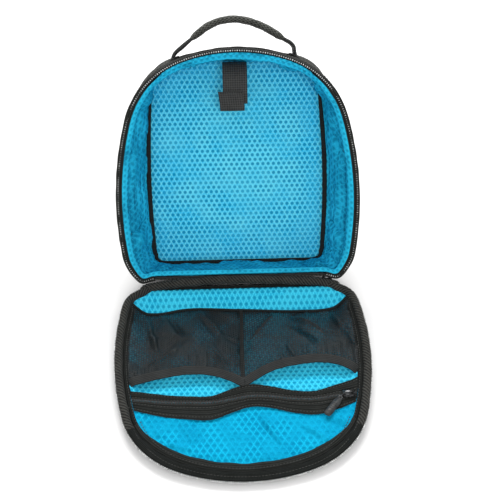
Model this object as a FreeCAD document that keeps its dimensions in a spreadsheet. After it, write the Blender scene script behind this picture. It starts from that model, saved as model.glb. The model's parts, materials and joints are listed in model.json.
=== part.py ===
import FreeCAD, Part
import math
import os

# Soft headphone case, open: a deep tub leaning back and a shallow lid lying on the table.
# Both halves are drawn in one closed frame: x across, v up from the hinge axis, w out through
# the opening.  The tub fills w < 0, the lid fills w > 0, and the hinge axis is v = w = 0.

SIZES = [
    ("tub_lean", 58.0), ("lid_tilt", 4.2), ("hinge_height", 23.7),
    ("rim_bottom", 3.2), ("tub_depth", 62.0), ("corner_start", 54.0), ("corner_inset", 5.0),
    ("wall_edge", 3.0), ("tape_edge", 2.0), ("chain_edge", 0.3),
    ("skin", 1.6), ("foam", 4.0), ("lining", 1.6), ("back_skin", 1.7), ("back_board", 2.0),
    ("back_lining", 2.0), ("seam_width", 2.5), ("seam_depth", 2.0),
    ("tape_width", 6.5), ("chain_out", 1.0), ("chain_in", 3.6), ("roll_radius", 4.2),
    ("roll_half", 97.0), ("web_width", 25.0), ("web_thick", 1.6), ("tab_thick", 1.6),
    ("handle_width", 25.0), ("grip_thick", 6.5), ("handle_web", 2.2), ("grip_width", 27.0),
    ("lid_wall", 3.0), ("lid_skin", 1.4), ("lid_board", 1.0), ("lid_lining", 1.0),
    ("pocket_rise", 7.4), ("mesh_thick", 0.8), ("elastic_thick", 1.2), ("elastic_width", 9.5),
    ("zip_rise", 4.4), ("zip_tape", 1.0), ("coil_thick", 1.8), ("panel_thick", 1.0),
    ("slider_long", 12.0), ("slider_wide", 9.0), ("slider_tall", 2.6),
    ("puller_long", 25.0), ("puller_wide", 7.5), ("puller_thick", 1.6),
]

doc = FreeCAD.newDocument("headphone_case")
sheet = doc.addObject("Spreadsheet::Sheet", "sizes")
for row, (alias, value) in enumerate(SIZES, start=1):
    sheet.set("A%d" % row, alias)
    sheet.set("B%d" % row, str(value))
    sheet.setAlias("B%d" % row, alias)
doc.recompute()


def size(alias):
    return float(sheet.get(alias))


LEAN = size("tub_lean")
TILT = size("lid_tilt")
HINGE = FreeCAD.Vector(0, 0, size("hinge_height"))
ALONG_X = FreeCAD.Vector(1, 0, 0)
TUB = FreeCAD.Placement(HINGE, FreeCAD.Rotation(ALONG_X, LEAN))
LID = FreeCAD.Placement(HINGE, FreeCAD.Rotation(ALONG_X, 180 + TILT))

# Outline keys, right half, from the hinge line round to the top centre:
# x, v, outward normal x, outward normal v, and how much deeper the lid wall is there.
RIM = [(94, 3.2, 0, -1, 1), (111, 11, 0.71, -0.71, 1), (118, 28, 0.99, -0.12, 1),
       (122.5, 82, 1, 0, 1), (111.5, 160, 0.97, 0.24, 1.3), (94, 195, 0.76, 0.64, 2),
       (60, 219, 0.37, 0.93, 2.6), (0, 230, 0, 1, 2.7)]
BACK = [(78, 6.2, 0, -1, 1), (92, 11, 0.71, -0.71, 1), (97, 28, 0.99, -0.1, 1),
        (100, 92, 1, 0, 1), (95, 186, 0.98, 0.2, 1.3), (86, 211, 0.71, 0.71, 2),
        (60, 225, 0.22, 0.98, 2.6), (0, 229, 0, 1, 2.7)]
PANEL = [(86, 7, 0, -1, 1), (103, 14, 0.71, -0.71, 1), (110, 30, 0.99, -0.12, 1),
         (114, 84, 1, 0, 1), (102, 152, 0.97, 0.24, 1.3), (85, 182, 0.76, 0.64, 2),
         (54, 203, 0.37, 0.93, 2.6), (0, 211, 0, 1, 2.7)]


def blend(first, second, part):
    return [tuple(a + (b - a) * part for a, b in zip(p, q)) for p, q in zip(first, second)]


def inset(keys, depth, lid_side=False):
    moved = []
    for x, v, nx, nv, deeper in keys:
        step = depth * (deeper if lid_side else 1)
        moved.append((x - nx * step, v - nv * step))
    return moved


def tub_outline(alias, depth):
    level = size(alias)
    start = size("corner_start")
    keys = blend(RIM, BACK, min(1.0, level / start))
    extra = max(0.0, level - start) / (size("tub_depth") - start) * size("corner_inset")
    return inset(keys, depth + extra)


def plane(body, role):
    return [item for item in body.Origin.OriginFeatures if item.Role == role][0]


def new_body(label, frame):
    body = doc.addObject("PartDesign::Body", label)
    body.Label = label
    body.Placement = frame
    return body


def new_sketch(body, role, lift=None, tilt=0.0, side=0.0):
    sketch = body.newObject("Sketcher::SketchObject", "sketch")
    sketch.AttachmentSupport = [(plane(body, role), "")]
    sketch.MapMode = "FlatFace"
    turn = FreeCAD.Rotation(ALONG_X, tilt)
    sketch.AttachmentOffset = FreeCAD.Placement(FreeCAD.Vector(0, 0, side), turn)
    if lift:
        sketch.setExpression("AttachmentOffset.Base.z", lift)
    return sketch


def vec(point):
    return FreeCAD.Vector(point[0], point[1], 0)


def draw_outline(sketch, half):
    left = [(-x, v) for x, v in half]
    start, top = half[0], half[7]
    sketch.addGeometry(Part.LineSegment(vec(left[0]), vec(start)), False)
    arcs = [(half[0], half[1], half[2]), (half[2], half[3], half[4]), (half[4], half[5], half[6]),
            (half[6], top, left[6]), (left[6], left[5], left[4]), (left[4], left[3], left[2]),
            (left[2], left[1], left[0])]
    for first, middle, last in arcs:
        sketch.addGeometry(Part.Arc(vec(first), vec(middle), vec(last)), False)


def draw_polygon(sketch, points):
    for first, last in zip(points, points[1:] + points[:1]):
        sketch.addGeometry(Part.LineSegment(vec(first), vec(last)), False)


def draw_band(sketch, upper, lower):
    sketch.addGeometry(Part.Arc(vec(upper[0]), vec(upper[1]), vec(upper[2])), False)
    sketch.addGeometry(Part.LineSegment(vec(upper[2]), vec(lower[2])), False)
    sketch.addGeometry(Part.Arc(vec(lower[2]), vec(lower[1]), vec(lower[0])), False)
    sketch.addGeometry(Part.LineSegment(vec(lower[0]), vec(upper[0])), False)


def pad(body, sketch, length, both=False, back=False):
    item = body.newObject("PartDesign::Pad", "pad")
    item.Profile = sketch
    item.setExpression("Length", length)
    item.Midplane = both
    item.Reversed = back
    doc.recompute()
    body.Tip = item
    return item


def pocket(body, sketch, length=None, both=False, back=False):
    item = body.newObject("PartDesign::Pocket", "pocket")
    item.Profile = sketch
    if length:
        item.setExpression("Length", length)
    else:
        item.Length = 400
    item.Midplane = both
    item.Reversed = back
    doc.recompute()
    body.Tip = item
    return item


def loft(body, kind, sketches):
    item = body.newObject(kind, "loft")
    item.Profile = sketches[0]
    item.Sections = sketches[1:]
    item.Ruled = True
    doc.recompute()
    body.Tip = item
    return item


def cut_away(body, polygons):
    for points in polygons:
        sketch = new_sketch(body, "XY_Plane")
        draw_polygon(sketch, points)
        pocket(body, sketch, both=True)


def tub_ring(label, levels, outer, inner, removed=()):
    body = new_body(label, TUB)
    for kind, depth in (("PartDesign::AdditiveLoft", outer), ("PartDesign::SubtractiveLoft", inner)):
        sections = []
        for alias in levels:
            sketch = new_sketch(body, "XY_Plane", "-sizes.%s" % alias)
            draw_outline(sketch, tub_outline(alias, depth))
            sections.append(sketch)
        loft(body, kind, sections)
    cut_away(body, removed)
    return body


def flat_ring(label, frame, lift, length, outer, inner, removed=()):
    body = new_body(label, frame)
    sketch = new_sketch(body, "XY_Plane", lift)
    draw_outline(sketch, inset(RIM, outer))
    draw_outline(sketch, inset(RIM, inner))
    pad(body, sketch, length)
    cut_away(body, removed)
    return body


def plate(label, frame, lift, length, points):
    body = new_body(label, frame)
    sketch = new_sketch(body, "XY_Plane", lift)
    draw_outline(sketch, points)
    pad(body, sketch, length)
    return body


def box_outline(x0, x1, v0, v1):
    return [(x0, v0), (x1, v0), (x1, v1), (x0, v1)]


FAR = 300
CHAIN_GAP = [box_outline(-104, 104, -20, 60)]


def tub_shell():
    skin = size("skin")
    foam_in = skin + size("foam")
    lining_in = foam_in + size("lining")
    tub_ring("tub_gusset", ["wall_edge", "corner_start", "tub_depth"], 0, skin)
    sheet.set("D1", "=tub_depth - back_skin")
    sheet.setAlias("D1", "board_level")
    sheet.set("D2", "=tub_depth - back_skin - back_board")
    sheet.setAlias("D2", "back_level")
    sheet.set("D3", "=tub_depth - back_skin - back_board - back_lining")
    sheet.setAlias("D3", "floor_level")
    doc.recompute()
    tub_ring("tub_foam", ["wall_edge", "corner_start", "back_level"], skin, foam_in)
    levels = ["wall_edge", "corner_start", "floor_level"]
    base_gap = [box_outline(-FAR, FAR, 60, FAR), box_outline(78, FAR, -20, 61),
                box_outline(-FAR, -78, -20, 61)]
    top_gap = [box_outline(-FAR, FAR, -20, 120), box_outline(70, FAR, 119, FAR),
               box_outline(-FAR, -70, 119, FAR)]
    left_gap = [box_outline(-78, FAR, -20, 110), box_outline(-70, FAR, 109, FAR)]
    right_gap = [box_outline(-FAR, 78, -20, 110), box_outline(-FAR, 70, 109, FAR)]
    tub_ring("lining_base", levels, foam_in, lining_in, base_gap)
    tub_ring("lining_top", levels, foam_in, lining_in, top_gap)
    tub_ring("lining_left", levels, foam_in, lining_in, left_gap)
    tub_ring("lining_right", levels, foam_in, lining_in, right_gap)
    clear = skin + size("corner_inset")
    plate("tub_back_panel", TUB, "-sizes.tub_depth", "sizes.back_skin", inset(BACK, clear))
    plate("tub_back_board", TUB, "-sizes.board_level", "sizes.back_board", inset(BACK, clear))
    plate("lining_back", TUB, "-sizes.back_level", "sizes.back_lining", inset(BACK, clear + 1.8))


def back_seam():
    inner = size("skin") + size("foam") + size("lining") + 2.0
    body = new_body("back_seam_binding", TUB)
    sketch = new_sketch(body, "XY_Plane", "-sizes.floor_level")
    draw_outline(sketch, inset(BACK, inner))
    draw_outline(sketch, inset(BACK, inner + size("seam_width")))
    pad(body, sketch, "sizes.seam_depth")
    cut_away(body, [box_outline(-FAR, FAR, 196, FAR)])


def rim_zip():
    chain_out, chain_in = size("chain_out"), size("chain_in")
    tape = size("tape_width")
    thick = "sizes.wall_edge - sizes.tape_edge"
    rise = "sizes.tape_edge - sizes.chain_edge"
    flat_ring("tub_zip_tape", TUB, "-sizes.wall_edge", thick, 0, tape, CHAIN_GAP)
    flat_ring("tub_zip_chain", TUB, "-sizes.tape_edge", rise, chain_out, chain_in, CHAIN_GAP)
    flat_ring("lid_zip_tape", LID, "sizes.tape_edge", thick, 0, tape, CHAIN_GAP)
    flat_ring("lid_zip_chain", LID, "sizes.chain_edge", rise, chain_out, chain_in, CHAIN_GAP)


def hinge_roll():
    body = new_body("hinge_binding", TUB)
    sketch = new_sketch(body, "YZ_Plane")
    centre = FreeCAD.Vector(0, 0, 0)
    sketch.addGeometry(Part.Circle(centre, FreeCAD.Vector(0, 0, 1), size("roll_radius")), False)
    pad(body, sketch, "2 * sizes.roll_half", both=True)
    tail = new_sketch(body, "XY_Plane", "-sizes.wall_edge")
    half = size("roll_half") - 2
    draw_polygon(tail, box_outline(-half, half, 3.0, 9.5))
    pad(body, tail, "sizes.wall_edge - sizes.tape_edge")


def strip(label, frame, points, width, middle):
    body = new_body(label, frame)
    sketch = new_sketch(body, "YZ_Plane", side=middle)
    draw_polygon(sketch, points)
    pad(body, sketch, width, both=True)
    return body


def strap():
    upper = [(212.5, -56.3), (214.5, -56.3), (207.8, -15.6), (205.5, -14.4), (177, -14.4),
             (177, -16.0), (204.6, -16.0), (206.0, -17.2)]
    strip("strap_upper", TUB, upper, "sizes.web_width", -2)
    lower = [(172.0, -56.3), (173.6, -56.3), (172.8, -17.0), (176.6, -16.2), (176.6, -14.6),
             (171.2, -16.0)]
    strip("strap_lower", TUB, lower, "sizes.web_width", -4)
    flap = [(171.4, -14.0), (189.0, -14.0), (189.0, -12.4), (171.4, -12.4)]
    strip("strap_flap", TUB, flap, "sizes.web_width + 1", -5)


def handle_profile(thick, end):
    half = thick / 2.0
    middle = -3.0
    line = [(middle - end, 241), (middle, 261.5), (middle + end, 247)]
    upper = [(x, v + half) for x, v in line]
    lower = [(x, v - half) for x, v in line]
    return upper, lower


def handle():
    web = size("handle_web")
    body = new_body("handle_webbing", TUB)
    sketch = new_sketch(body, "XY_Plane", side=-36)
    upper, lower = handle_profile(web, 44)
    left_end = (-67.0, 233.0)
    right_end = (61.0, 233.0)
    sketch.addGeometry(Part.Arc(vec(upper[0]), vec(upper[1]), vec(upper[2])), False)
    sketch.addGeometry(Part.LineSegment(vec(upper[2]), vec(right_end)), False)
    sketch.addGeometry(Part.LineSegment(vec(right_end), vec((58.0, 233.0))), False)
    sketch.addGeometry(Part.LineSegment(vec((58.0, 233.0)), vec(lower[2])), False)
    sketch.addGeometry(Part.Arc(vec(lower[2]), vec(lower[1]), vec(lower[0])), False)
    sketch.addGeometry(Part.LineSegment(vec(lower[0]), vec((-64.0, 233.0))), False)
    sketch.addGeometry(Part.LineSegment(vec((-64.0, 233.0)), vec(left_end)), False)
    sketch.addGeometry(Part.LineSegment(vec(left_end), vec(upper[0])), False)
    pad(body, sketch, "sizes.handle_width", both=True)
    grip = new_body("handle_grip", TUB)
    outline = new_sketch(grip, "XY_Plane", side=-36)
    draw_band(outline, *grip_arcs(size("grip_thick")))
    pad(grip, outline, "sizes.grip_width", both=True)
    inner = new_sketch(grip, "XY_Plane", side=-36)
    draw_band(inner, *handle_profile(web, 44))
    pocket(grip, inner, "sizes.handle_width", both=True)
    for centre, seat, name in ((-66, 222.8, "left"), (60, 224.2, "right")):
        anchor = new_body("handle_anchor_" + name, TUB)
        foot = new_sketch(anchor, "XY_Plane", side=-36)
        draw_polygon(foot, box_outline(centre - 2, centre + 2, seat, 231.4))
        pad(anchor, foot, "6", both=True)


def grip_arcs(thick):
    half = thick / 2.0
    line = [(-45, 242.3), (-3, 261.5), (39, 248.2)]
    upper = [(x, v + half) for x, v in line]
    lower = [(x, v - half) for x, v in line]
    return upper, lower


LIFT = "(sizes.hinge_height - %s) / cos(sizes.lid_tilt * 1 deg)"


def lid_sketch(body, height, keys_or_points, outline=True):
    sketch = new_sketch(body, "XY_Plane", LIFT % height, tilt=-TILT)
    if outline:
        draw_outline(sketch, keys_or_points)
    else:
        draw_polygon(sketch, keys_or_points)
    return sketch


def lid_plate(label, height, length, points, outline=True):
    body = new_body(label, LID)
    pad(body, lid_sketch(body, height, points, outline), length)
    return body


def lid_shell():
    wall = size("lid_wall")
    body = new_body("lid_gusset", LID)
    for kind, depth in (("PartDesign::AdditiveLoft", 0), ("PartDesign::SubtractiveLoft", wall)):
        top = new_sketch(body, "XY_Plane", "sizes.wall_edge")
        draw_outline(top, inset(RIM, depth, lid_side=True))
        foot = lid_sketch(body, "0", inset(PANEL, depth, lid_side=True))
        loft(body, kind, [top, foot])
    inside = inset(PANEL, wall, lid_side=True)
    floor = "sizes.lid_skin + sizes.lid_board + sizes.lid_lining"
    lid_plate("lid_outer_panel", "sizes.lid_skin", "sizes.lid_skin", inside)
    lid_plate("lid_board", "(sizes.lid_skin + sizes.lid_board)", "sizes.lid_board", inside)
    lid_plate("lid_lining", "(%s)" % floor, "sizes.lid_lining", inside)
    for side, name in ((-1, "left"), (1, "right")):
        other = box_outline(0, FAR, -20, FAR) if side < 0 else box_outline(-FAR, 0, -20, FAR)
        binding = new_body("lid_binding_" + name, LID)
        sketch = new_sketch(binding, "XY_Plane", "sizes.chain_edge")
        draw_outline(sketch, inset(RIM, size("tape_width")))
        draw_outline(sketch, inset(RIM, size("tape_width") + 3.5))
        pad(binding, sketch, "sizes.wall_edge + 1")
        ends = [box_outline(-FAR, FAR, 176, FAR), box_outline(-96, 96, -20, 40)]
        cut_away(binding, [other] + ends)


FLOOR = "(sizes.lid_skin + sizes.lid_board + sizes.lid_lining)"


def mesh_pockets():
    wall = size("mesh_thick")
    for side, name in ((-1, "left"), (1, "right")):
        near, far = 2.0 * side, 103.0 * side
        body = new_body("mesh_pocket_" + name, LID)
        base = new_sketch(body, "XY_Plane", LIFT % ("(%s + sizes.pocket_rise)" % FLOOR[1:-1]),
                          tilt=-TILT)
        pocket_outline(base, near, far, 30, 0)
        pad(body, base, "sizes.pocket_rise")
        hollow = new_sketch(body, "XY_Plane", LIFT % FLOOR, tilt=-TILT)
        pocket_outline(hollow, near + wall * side, far - wall * side, 30 + wall, 3)
        pocket(body, hollow, "sizes.pocket_rise - sizes.mesh_thick")
        edge = new_body("pocket_elastic_" + name, LID)
        rise = "(%s + sizes.pocket_rise + sizes.elastic_thick)" % FLOOR[1:-1]
        ribbon = new_sketch(edge, "XY_Plane", LIFT % rise, tilt=-TILT)
        wide = size("elastic_width")
        low = [(near, 118), ((near + far) / 2, 108), (far, 114)]
        high = [(x, v - wide) for x, v in low]
        draw_band(ribbon, high, low)
        pad(edge, ribbon, "sizes.elastic_thick")
    rise = "(%s + sizes.pocket_rise)" % FLOOR[1:-1]
    seam = box_outline(-1.7, 1.7, 30, 118)
    lid_plate("pocket_divider", rise, "sizes.pocket_rise", seam, outline=False)


def pocket_outline(sketch, near, far, start, more):
    mid = (near + far) / 2
    corners = [(near, start), (far, start), (far, 114 + more), (near, 118 + more)]
    for first, last in ((0, 1), (1, 2), (3, 0)):
        sketch.addGeometry(Part.LineSegment(vec(corners[first]), vec(corners[last])), False)
    bend = (mid, 108 + more)
    sketch.addGeometry(Part.Arc(vec(corners[2]), vec(bend), vec(corners[3])), False)


def zip_pocket():
    half = 104
    floor = FLOOR[1:-1]
    tape_top = "(%s + sizes.zip_rise + sizes.zip_tape)" % floor
    upper = box_outline(-half, half, 126, 137.4)
    lower = box_outline(-half + 1, half - 1, 140.6, 152)
    lid_plate("pocket_zip_tape_upper", tape_top, "sizes.zip_tape", upper, outline=False)
    lid_plate("pocket_zip_tape_lower", tape_top, "sizes.zip_tape", lower, outline=False)
    coil_top = "(%s + sizes.zip_rise + sizes.coil_thick)" % floor
    coil = box_outline(-half, half, 137.5, 140.5)
    lid_plate("pocket_zip_coil", coil_top, "sizes.coil_thick", coil, outline=False)
    rail = box_outline(-half, half, 124.5, 127)
    lid_plate("pocket_zip_welt", "(%s + sizes.zip_rise)" % floor, "sizes.zip_rise", rail,
              outline=False)
    panel = new_body("zip_pocket_panel", LID)
    pad(panel, lid_sketch(panel, "(%s + 4.2)" % floor, inset(PANEL, 4.0, lid_side=True)), "4.2")
    hollow = new_sketch(panel, "XY_Plane", LIFT % FLOOR, tilt=-TILT)
    draw_outline(hollow, inset(PANEL, 5.0, lid_side=True))
    pocket(panel, hollow, "4.2 - sizes.panel_thick")
    cut_away(panel, [box_outline(-FAR, FAR, -20, 152)])


def pocket_slider():
    floor = FLOOR[1:-1]
    centre = 97.0
    half_long = size("slider_long") / 2
    half_wide = size("slider_wide") / 2
    top = "(%s + sizes.zip_rise + sizes.coil_thick + 0.4 + sizes.slider_tall)" % floor
    body = new_body("pocket_slider", LID)
    shape = box_outline(centre - half_long, centre + half_long, 139 - half_wide, 139 + half_wide)
    pad(body, lid_sketch(body, top, shape, outline=False), "sizes.slider_tall")
    puller = new_body("pocket_puller", LID)
    long, half = size("puller_long"), size("puller_wide") / 2
    root = (centre - half_long - 2.5, 144.0)
    along = (-0.6, 0.8)
    across = (0.8, 0.6)
    corners = []
    for far, side in ((0, -1), (long, -1), (long, 1), (0, 1)):
        corners.append((root[0] + along[0] * far + across[0] * side * half,
                        root[1] + along[1] * far + across[1] * side * half))
    lift = "(%s + sizes.zip_rise + sizes.coil_thick + 0.5 + sizes.puller_thick)" % floor
    pad(puller, lid_sketch(puller, lift, corners, outline=False), "sizes.puller_thick")


def rim_slider():
    body = strip("rim_slider", TUB, [(-3.5, -13.0), (3.4, -13.0), (3.4, -5.0), (-3.5, -5.0)], "10", 90)
    puller = strip("rim_puller", TUB, [(-4.0, -9.2), (-4.0, -11.0), (-13.5, -17.0), (-14.4, -15.6)],
                   "6", 90)
    return body, puller


tub_shell()
back_seam()
rim_zip()
hinge_roll()
strap()
handle()
lid_shell()
mesh_pockets()
zip_pocket()
pocket_slider()
rim_slider()
doc.recompute()

bodies = [item for item in doc.Objects if item.TypeId == "PartDesign::Body"]
low = min(item.Shape.BoundBox.YMin for item in bodies)
high = max(item.Shape.BoundBox.YMax for item in bodies)
for item in bodies:
    place = item.Placement
    place.Base = place.Base + FreeCAD.Vector(0, -(low + high) / 2, 0)
    item.Placement = place
doc.recompute()
print("SHIFT", -(low + high) / 2)

for item in doc.Objects:
    if "Invalid" in item.State or "Error" in item.State:
        raise RuntimeError("feature failed: " + item.Label)

os.makedirs("parts", exist_ok=True)
for item in bodies:
    if item.Shape.isNull() or not item.Shape.isValid() or not item.Shape.Solids:
        raise RuntimeError("bad shape: " + item.Label)
    box = item.Shape.BoundBox
    print(item.Label, round(item.Shape.Volume), len(item.Shape.Solids), box)
    item.Shape.exportStep("parts/" + item.Label + ".step")
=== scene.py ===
"""The soft goods, materials, light and camera of an open headphone carrying case.

Lengths are in millimetres until a mesh is made. Each half has its own directions: x across, v from the
hinge to the far end, and w out of the mouth, so the tub lies at w below 0 and the lid at w above 0.
"""

import json
import math

import bmesh
import bpy
import numpy as np
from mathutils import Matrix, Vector


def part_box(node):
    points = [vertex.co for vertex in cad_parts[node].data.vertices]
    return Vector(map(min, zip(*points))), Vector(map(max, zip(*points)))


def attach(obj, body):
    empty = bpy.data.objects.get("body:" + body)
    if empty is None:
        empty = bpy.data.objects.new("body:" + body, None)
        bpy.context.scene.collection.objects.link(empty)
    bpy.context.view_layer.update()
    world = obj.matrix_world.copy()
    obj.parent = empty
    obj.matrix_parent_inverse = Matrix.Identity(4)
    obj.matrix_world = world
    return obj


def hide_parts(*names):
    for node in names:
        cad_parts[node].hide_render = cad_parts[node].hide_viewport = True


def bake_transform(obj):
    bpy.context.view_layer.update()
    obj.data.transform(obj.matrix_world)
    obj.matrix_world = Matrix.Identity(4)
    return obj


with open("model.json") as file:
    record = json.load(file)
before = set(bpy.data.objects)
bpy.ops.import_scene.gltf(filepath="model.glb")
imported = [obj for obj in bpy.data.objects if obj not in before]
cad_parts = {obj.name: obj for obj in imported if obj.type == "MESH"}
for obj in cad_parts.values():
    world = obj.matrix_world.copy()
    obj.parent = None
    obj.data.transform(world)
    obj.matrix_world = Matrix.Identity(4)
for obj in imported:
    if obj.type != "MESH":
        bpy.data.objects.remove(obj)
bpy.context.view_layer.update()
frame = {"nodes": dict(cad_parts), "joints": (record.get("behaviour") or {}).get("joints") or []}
JOINTS = {joint["name"]: joint for joint in frame["joints"]}
SHIFT, HINGE_HEIGHT = (value * 1000 for value in JOINTS["lid_hinge"]["pos_m"][1:])
TUB_LEAN = math.radians(58)
LID_TILT = math.radians(4.2)
TUB_DEPTH = 62.0
BACK_STEP = 54.0
FLOOR_GAP = 0.15

RIM_KEYS = [(94, 3.2), (111, 11), (118, 28), (122.5, 82), (111.5, 160), (94, 195), (60, 219), (0, 230)]
BACK_KEYS = [(78, 6.2), (92, 11), (97, 28), (100, 92), (95, 186), (86, 211), (60, 225), (0, 229)]
PANEL_KEYS = [(86, 7), (103, 14), (110, 30), (114, 84), (102, 152), (85, 182), (54, 203), (0, 211)]
LINE_STEPS, ARC_STEPS, TOP_STEPS = 47, (18, 66, 40), 60
RING_STEP = 1.9


# ---------------------------------------------------------------- curves

def arc(first, middle, last, steps):
    """Points on the arc from first towards last, without last."""
    a, b, c = (np.array(p, float) for p in (first, middle, last))
    centre = np.linalg.solve(2 * np.array([b - a, c - a]), [b @ b - a @ a, c @ c - a @ a])
    angles = [math.atan2(*(p - centre)[::-1]) for p in (a, b, c)]
    turn = [(angle - angles[0]) % (2 * math.pi) for angle in angles]
    sweep = turn[2] if turn[1] < turn[2] else turn[2] - 2 * math.pi
    t = angles[0] + sweep * np.arange(steps) / steps
    return centre + np.linalg.norm(a - centre) * np.stack([np.cos(t), np.sin(t)], -1)


def blur(values, width):
    """Values round a closed ring, smoothed."""
    reach = np.arange(-3 * width, 3 * width + 1)
    weights = np.exp(-0.5 * (reach / width) ** 2)
    rolled = [np.roll(values, k, 0) * w for k, w in zip(reach, weights / weights.sum())]
    return np.sum(rolled, axis=0)


def outline(keys):
    """A closed outline from the bottom's middle, round by the right, and its outward normals."""
    parts = [np.stack([np.linspace(0, keys[0][0], LINE_STEPS, endpoint=False),
                       np.full(LINE_STEPS, keys[0][1])], -1)]
    parts += [arc(*keys[2 * k:2 * k + 3], steps) for k, steps in enumerate(ARC_STEPS)]
    top = arc(keys[6], keys[7], (-keys[6][0], keys[6][1]), TOP_STEPS)[:TOP_STEPS // 2]
    right = np.concatenate(parts + [top])
    ring = blur(np.concatenate([right, [keys[7]], right[:0:-1] * (-1, 1)]), 3)
    along = unit(np.roll(ring, -1, 0) - np.roll(ring, 1, 0))
    return ring, np.stack([along[:, 1], -along[:, 0]], -1)


def unit(vectors):
    return vectors / np.linalg.norm(vectors, axis=-1, keepdims=True)


def through(keys, at):
    """A smooth curve through (place, value) keys, read at places."""
    x, y = np.array(keys, float).T
    at = np.asarray(at, float)
    slope = np.gradient(y, x)
    i = np.clip(np.searchsorted(x, at) - 1, 0, len(x) - 2)
    gap = x[i + 1] - x[i]
    t = np.clip((at - x[i]) / gap, 0, 1)
    rise = (slope[i] * (1 - t) - slope[i + 1] * t) * gap * t * (1 - t)
    return y[i] + (y[i + 1] - y[i]) * t * t * (3 - 2 * t) + rise


def path(keys, steps):
    """A smooth open path through points of any dimension."""
    keys = np.array(keys, float)
    places = np.concatenate([[0], np.cumsum(np.linalg.norm(np.diff(keys, axis=0), axis=1))])
    at = np.linspace(0, places[-1], steps)
    return np.stack([through(list(zip(places, column)), at) for column in keys.T], -1)


def step(value, low, high):
    """0 below low, 1 above high, with a smooth rise between."""
    t = np.clip((np.asarray(value, float) - low) / (high - low), 0, 1)
    return t * t * (3 - 2 * t)


def hill(value, centre, width):
    return np.exp(-0.5 * ((np.asarray(value, float) - centre) / width) ** 2)


def ripple(points, wavelength, seed):
    """Gentle unevenness, from about -1 to 1, that depends on place alone."""
    draw = np.random.default_rng(seed)
    total = np.zeros(points.shape[:-1])
    for _ in range(7):
        way = draw.normal(size=points.shape[-1])
        way *= 2 * math.pi / (np.linalg.norm(way) * wavelength * draw.uniform(0.8, 1.3))
        total += np.sin(points @ way + draw.uniform(0, 2 * math.pi))
    return total / 2.8


def fold(x, v, start, end, height, width):
    """A soft ridge, or a furrow for a height below 0, along the line from start to end."""
    span = np.array(end, float) - start
    long = np.linalg.norm(span)
    way = span / long
    along = ((x - start[0]) * way[0] + (v - start[1]) * way[1]) / long
    off = (x - start[0]) * way[1] - (v - start[1]) * way[0]
    return height * np.exp(-(off / width) ** 2) * step(along, -0.15, 0.25) * (1 - step(along, 0.75, 1.15))


RIM, RIM_OUT = outline(RIM_KEYS)
BACK, BACK_OUT = outline(BACK_KEYS)
PANEL, PANEL_OUT = outline(PANEL_KEYS)
COUNT = len(RIM)
RING = np.arange(COUNT)
TOP = step(RIM_OUT[:, 1], 0.55, 0.97)
BASE = step(-RIM_OUT[:, 1], 0.5, 0.95)
FAR = step(RIM[:, 1], 160, 218)
# The tub's zip dips beside the hinge and stands a little high at the top.
DIP = -4.5 * np.exp(-((np.abs(RIM[:, 0]) - 101) / 8) ** 2) * (RIM[:, 1] < 40)
TUB_RIM = RIM + np.stack([0 * DIP, DIP + 1.7 * np.clip((RIM[:, 1] - 205) / 25, 0, 1)], -1)


# ---------------------------------------------------------------- places

def half(angle, x, v, w):
    x, v, w = np.broadcast_arrays(np.asarray(x, float), v, w)
    return np.stack([x, SHIFT + v * math.cos(angle) - w * math.sin(angle),
                     HINGE_HEIGHT + v * math.sin(angle) + w * math.cos(angle)], -1)


def tub(x, v, w):
    return half(TUB_LEAN, x, v, w)


def lid(x, v, w):
    return half(math.pi + LID_TILT, x, v, w)


def tray(x, s, z):
    """A place over the lid's floor: s from the hinge and z above the table."""
    x, s, z = np.broadcast_arrays(np.asarray(x, float), s, z)
    return np.stack([x, SHIFT + (HINGE_HEIGHT - z) * math.tan(LID_TILT) - s, z], -1)


def floor_at(v, w):
    """Height above the table at lid places."""
    v, w = np.asarray(v, float), np.asarray(w, float)
    return HINGE_HEIGHT - math.sin(LID_TILT) * v - math.cos(LID_TILT) * w


ACROSS = np.array([1.0, 0, 0])
UP = np.array([0, 0, 1.0])
TUB_OUT = tub(0, 0, 1) - tub(0, 0, 0)


def tub_wall(out, w, ring=RING):
    """Places out mm outside the tub's side wall at depth w, for rows of the ring."""
    out, w = np.broadcast_arrays(out, w)
    t = np.clip(-w / BACK_STEP, 0, 1)[..., None]
    base = TUB_RIM[ring][:, None] * (1 - t) + BACK[ring][:, None] * t
    away = unit(RIM_OUT[ring][:, None] * (1 - t) + BACK_OUT[ring][:, None] * t)
    spot = base + away * out[..., None]
    return tub(spot[..., 0], spot[..., 1], w)


def lid_wall(out, w, ring=RING):
    out, w = np.broadcast_arrays(out, w)
    spot = RIM[ring][:, None] + RIM_OUT[ring][:, None] * out[..., None]
    return lid(spot[..., 0], spot[..., 1], w)


def rows(values, ring=RING):
    """A value for each row of the ring, as a column."""
    return np.broadcast_to(np.asarray(values, float), (len(ring),))[:, None]


def wall_line(wall, out, w, ring=RING):
    """A line along a wall, and the way outward from it."""
    out, w = rows(out, ring), rows(w, ring)
    line = wall(out, w, ring)[:, 0]
    return line, unit(wall(out + 2, w, ring)[:, 0] - line)


def blended(first, second, share, steps):
    """A profile for each row of a ring, from first at share 0 to second at share 1."""
    a, b = path(first, steps), path(second, steps)
    both = a + (b - a) * share[:, None, None]
    return both[..., 0], both[..., 1]


def nearest(ring, x, v):
    return int(np.argmin(np.sum((ring - (x, v)) ** 2, axis=1)))


def above_floor(P):
    P[..., 2] = np.maximum(P[..., 2], FLOOR_GAP)
    return P


def crowned(ring, middle, rings, depth_at):
    """A panel from an outline in to its middle, with depth_at(share, x, v) for its third direction."""
    share = np.linspace(1, 0.02, rings) ** 0.85
    x = middle[0] + (ring[:, :1] - middle[0]) * share
    v = middle[1] + (ring[:, 1:] - middle[1]) * share
    return x, v, depth_at(share[None], x, v)


# ---------------------------------------------------------------- meshes

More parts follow.
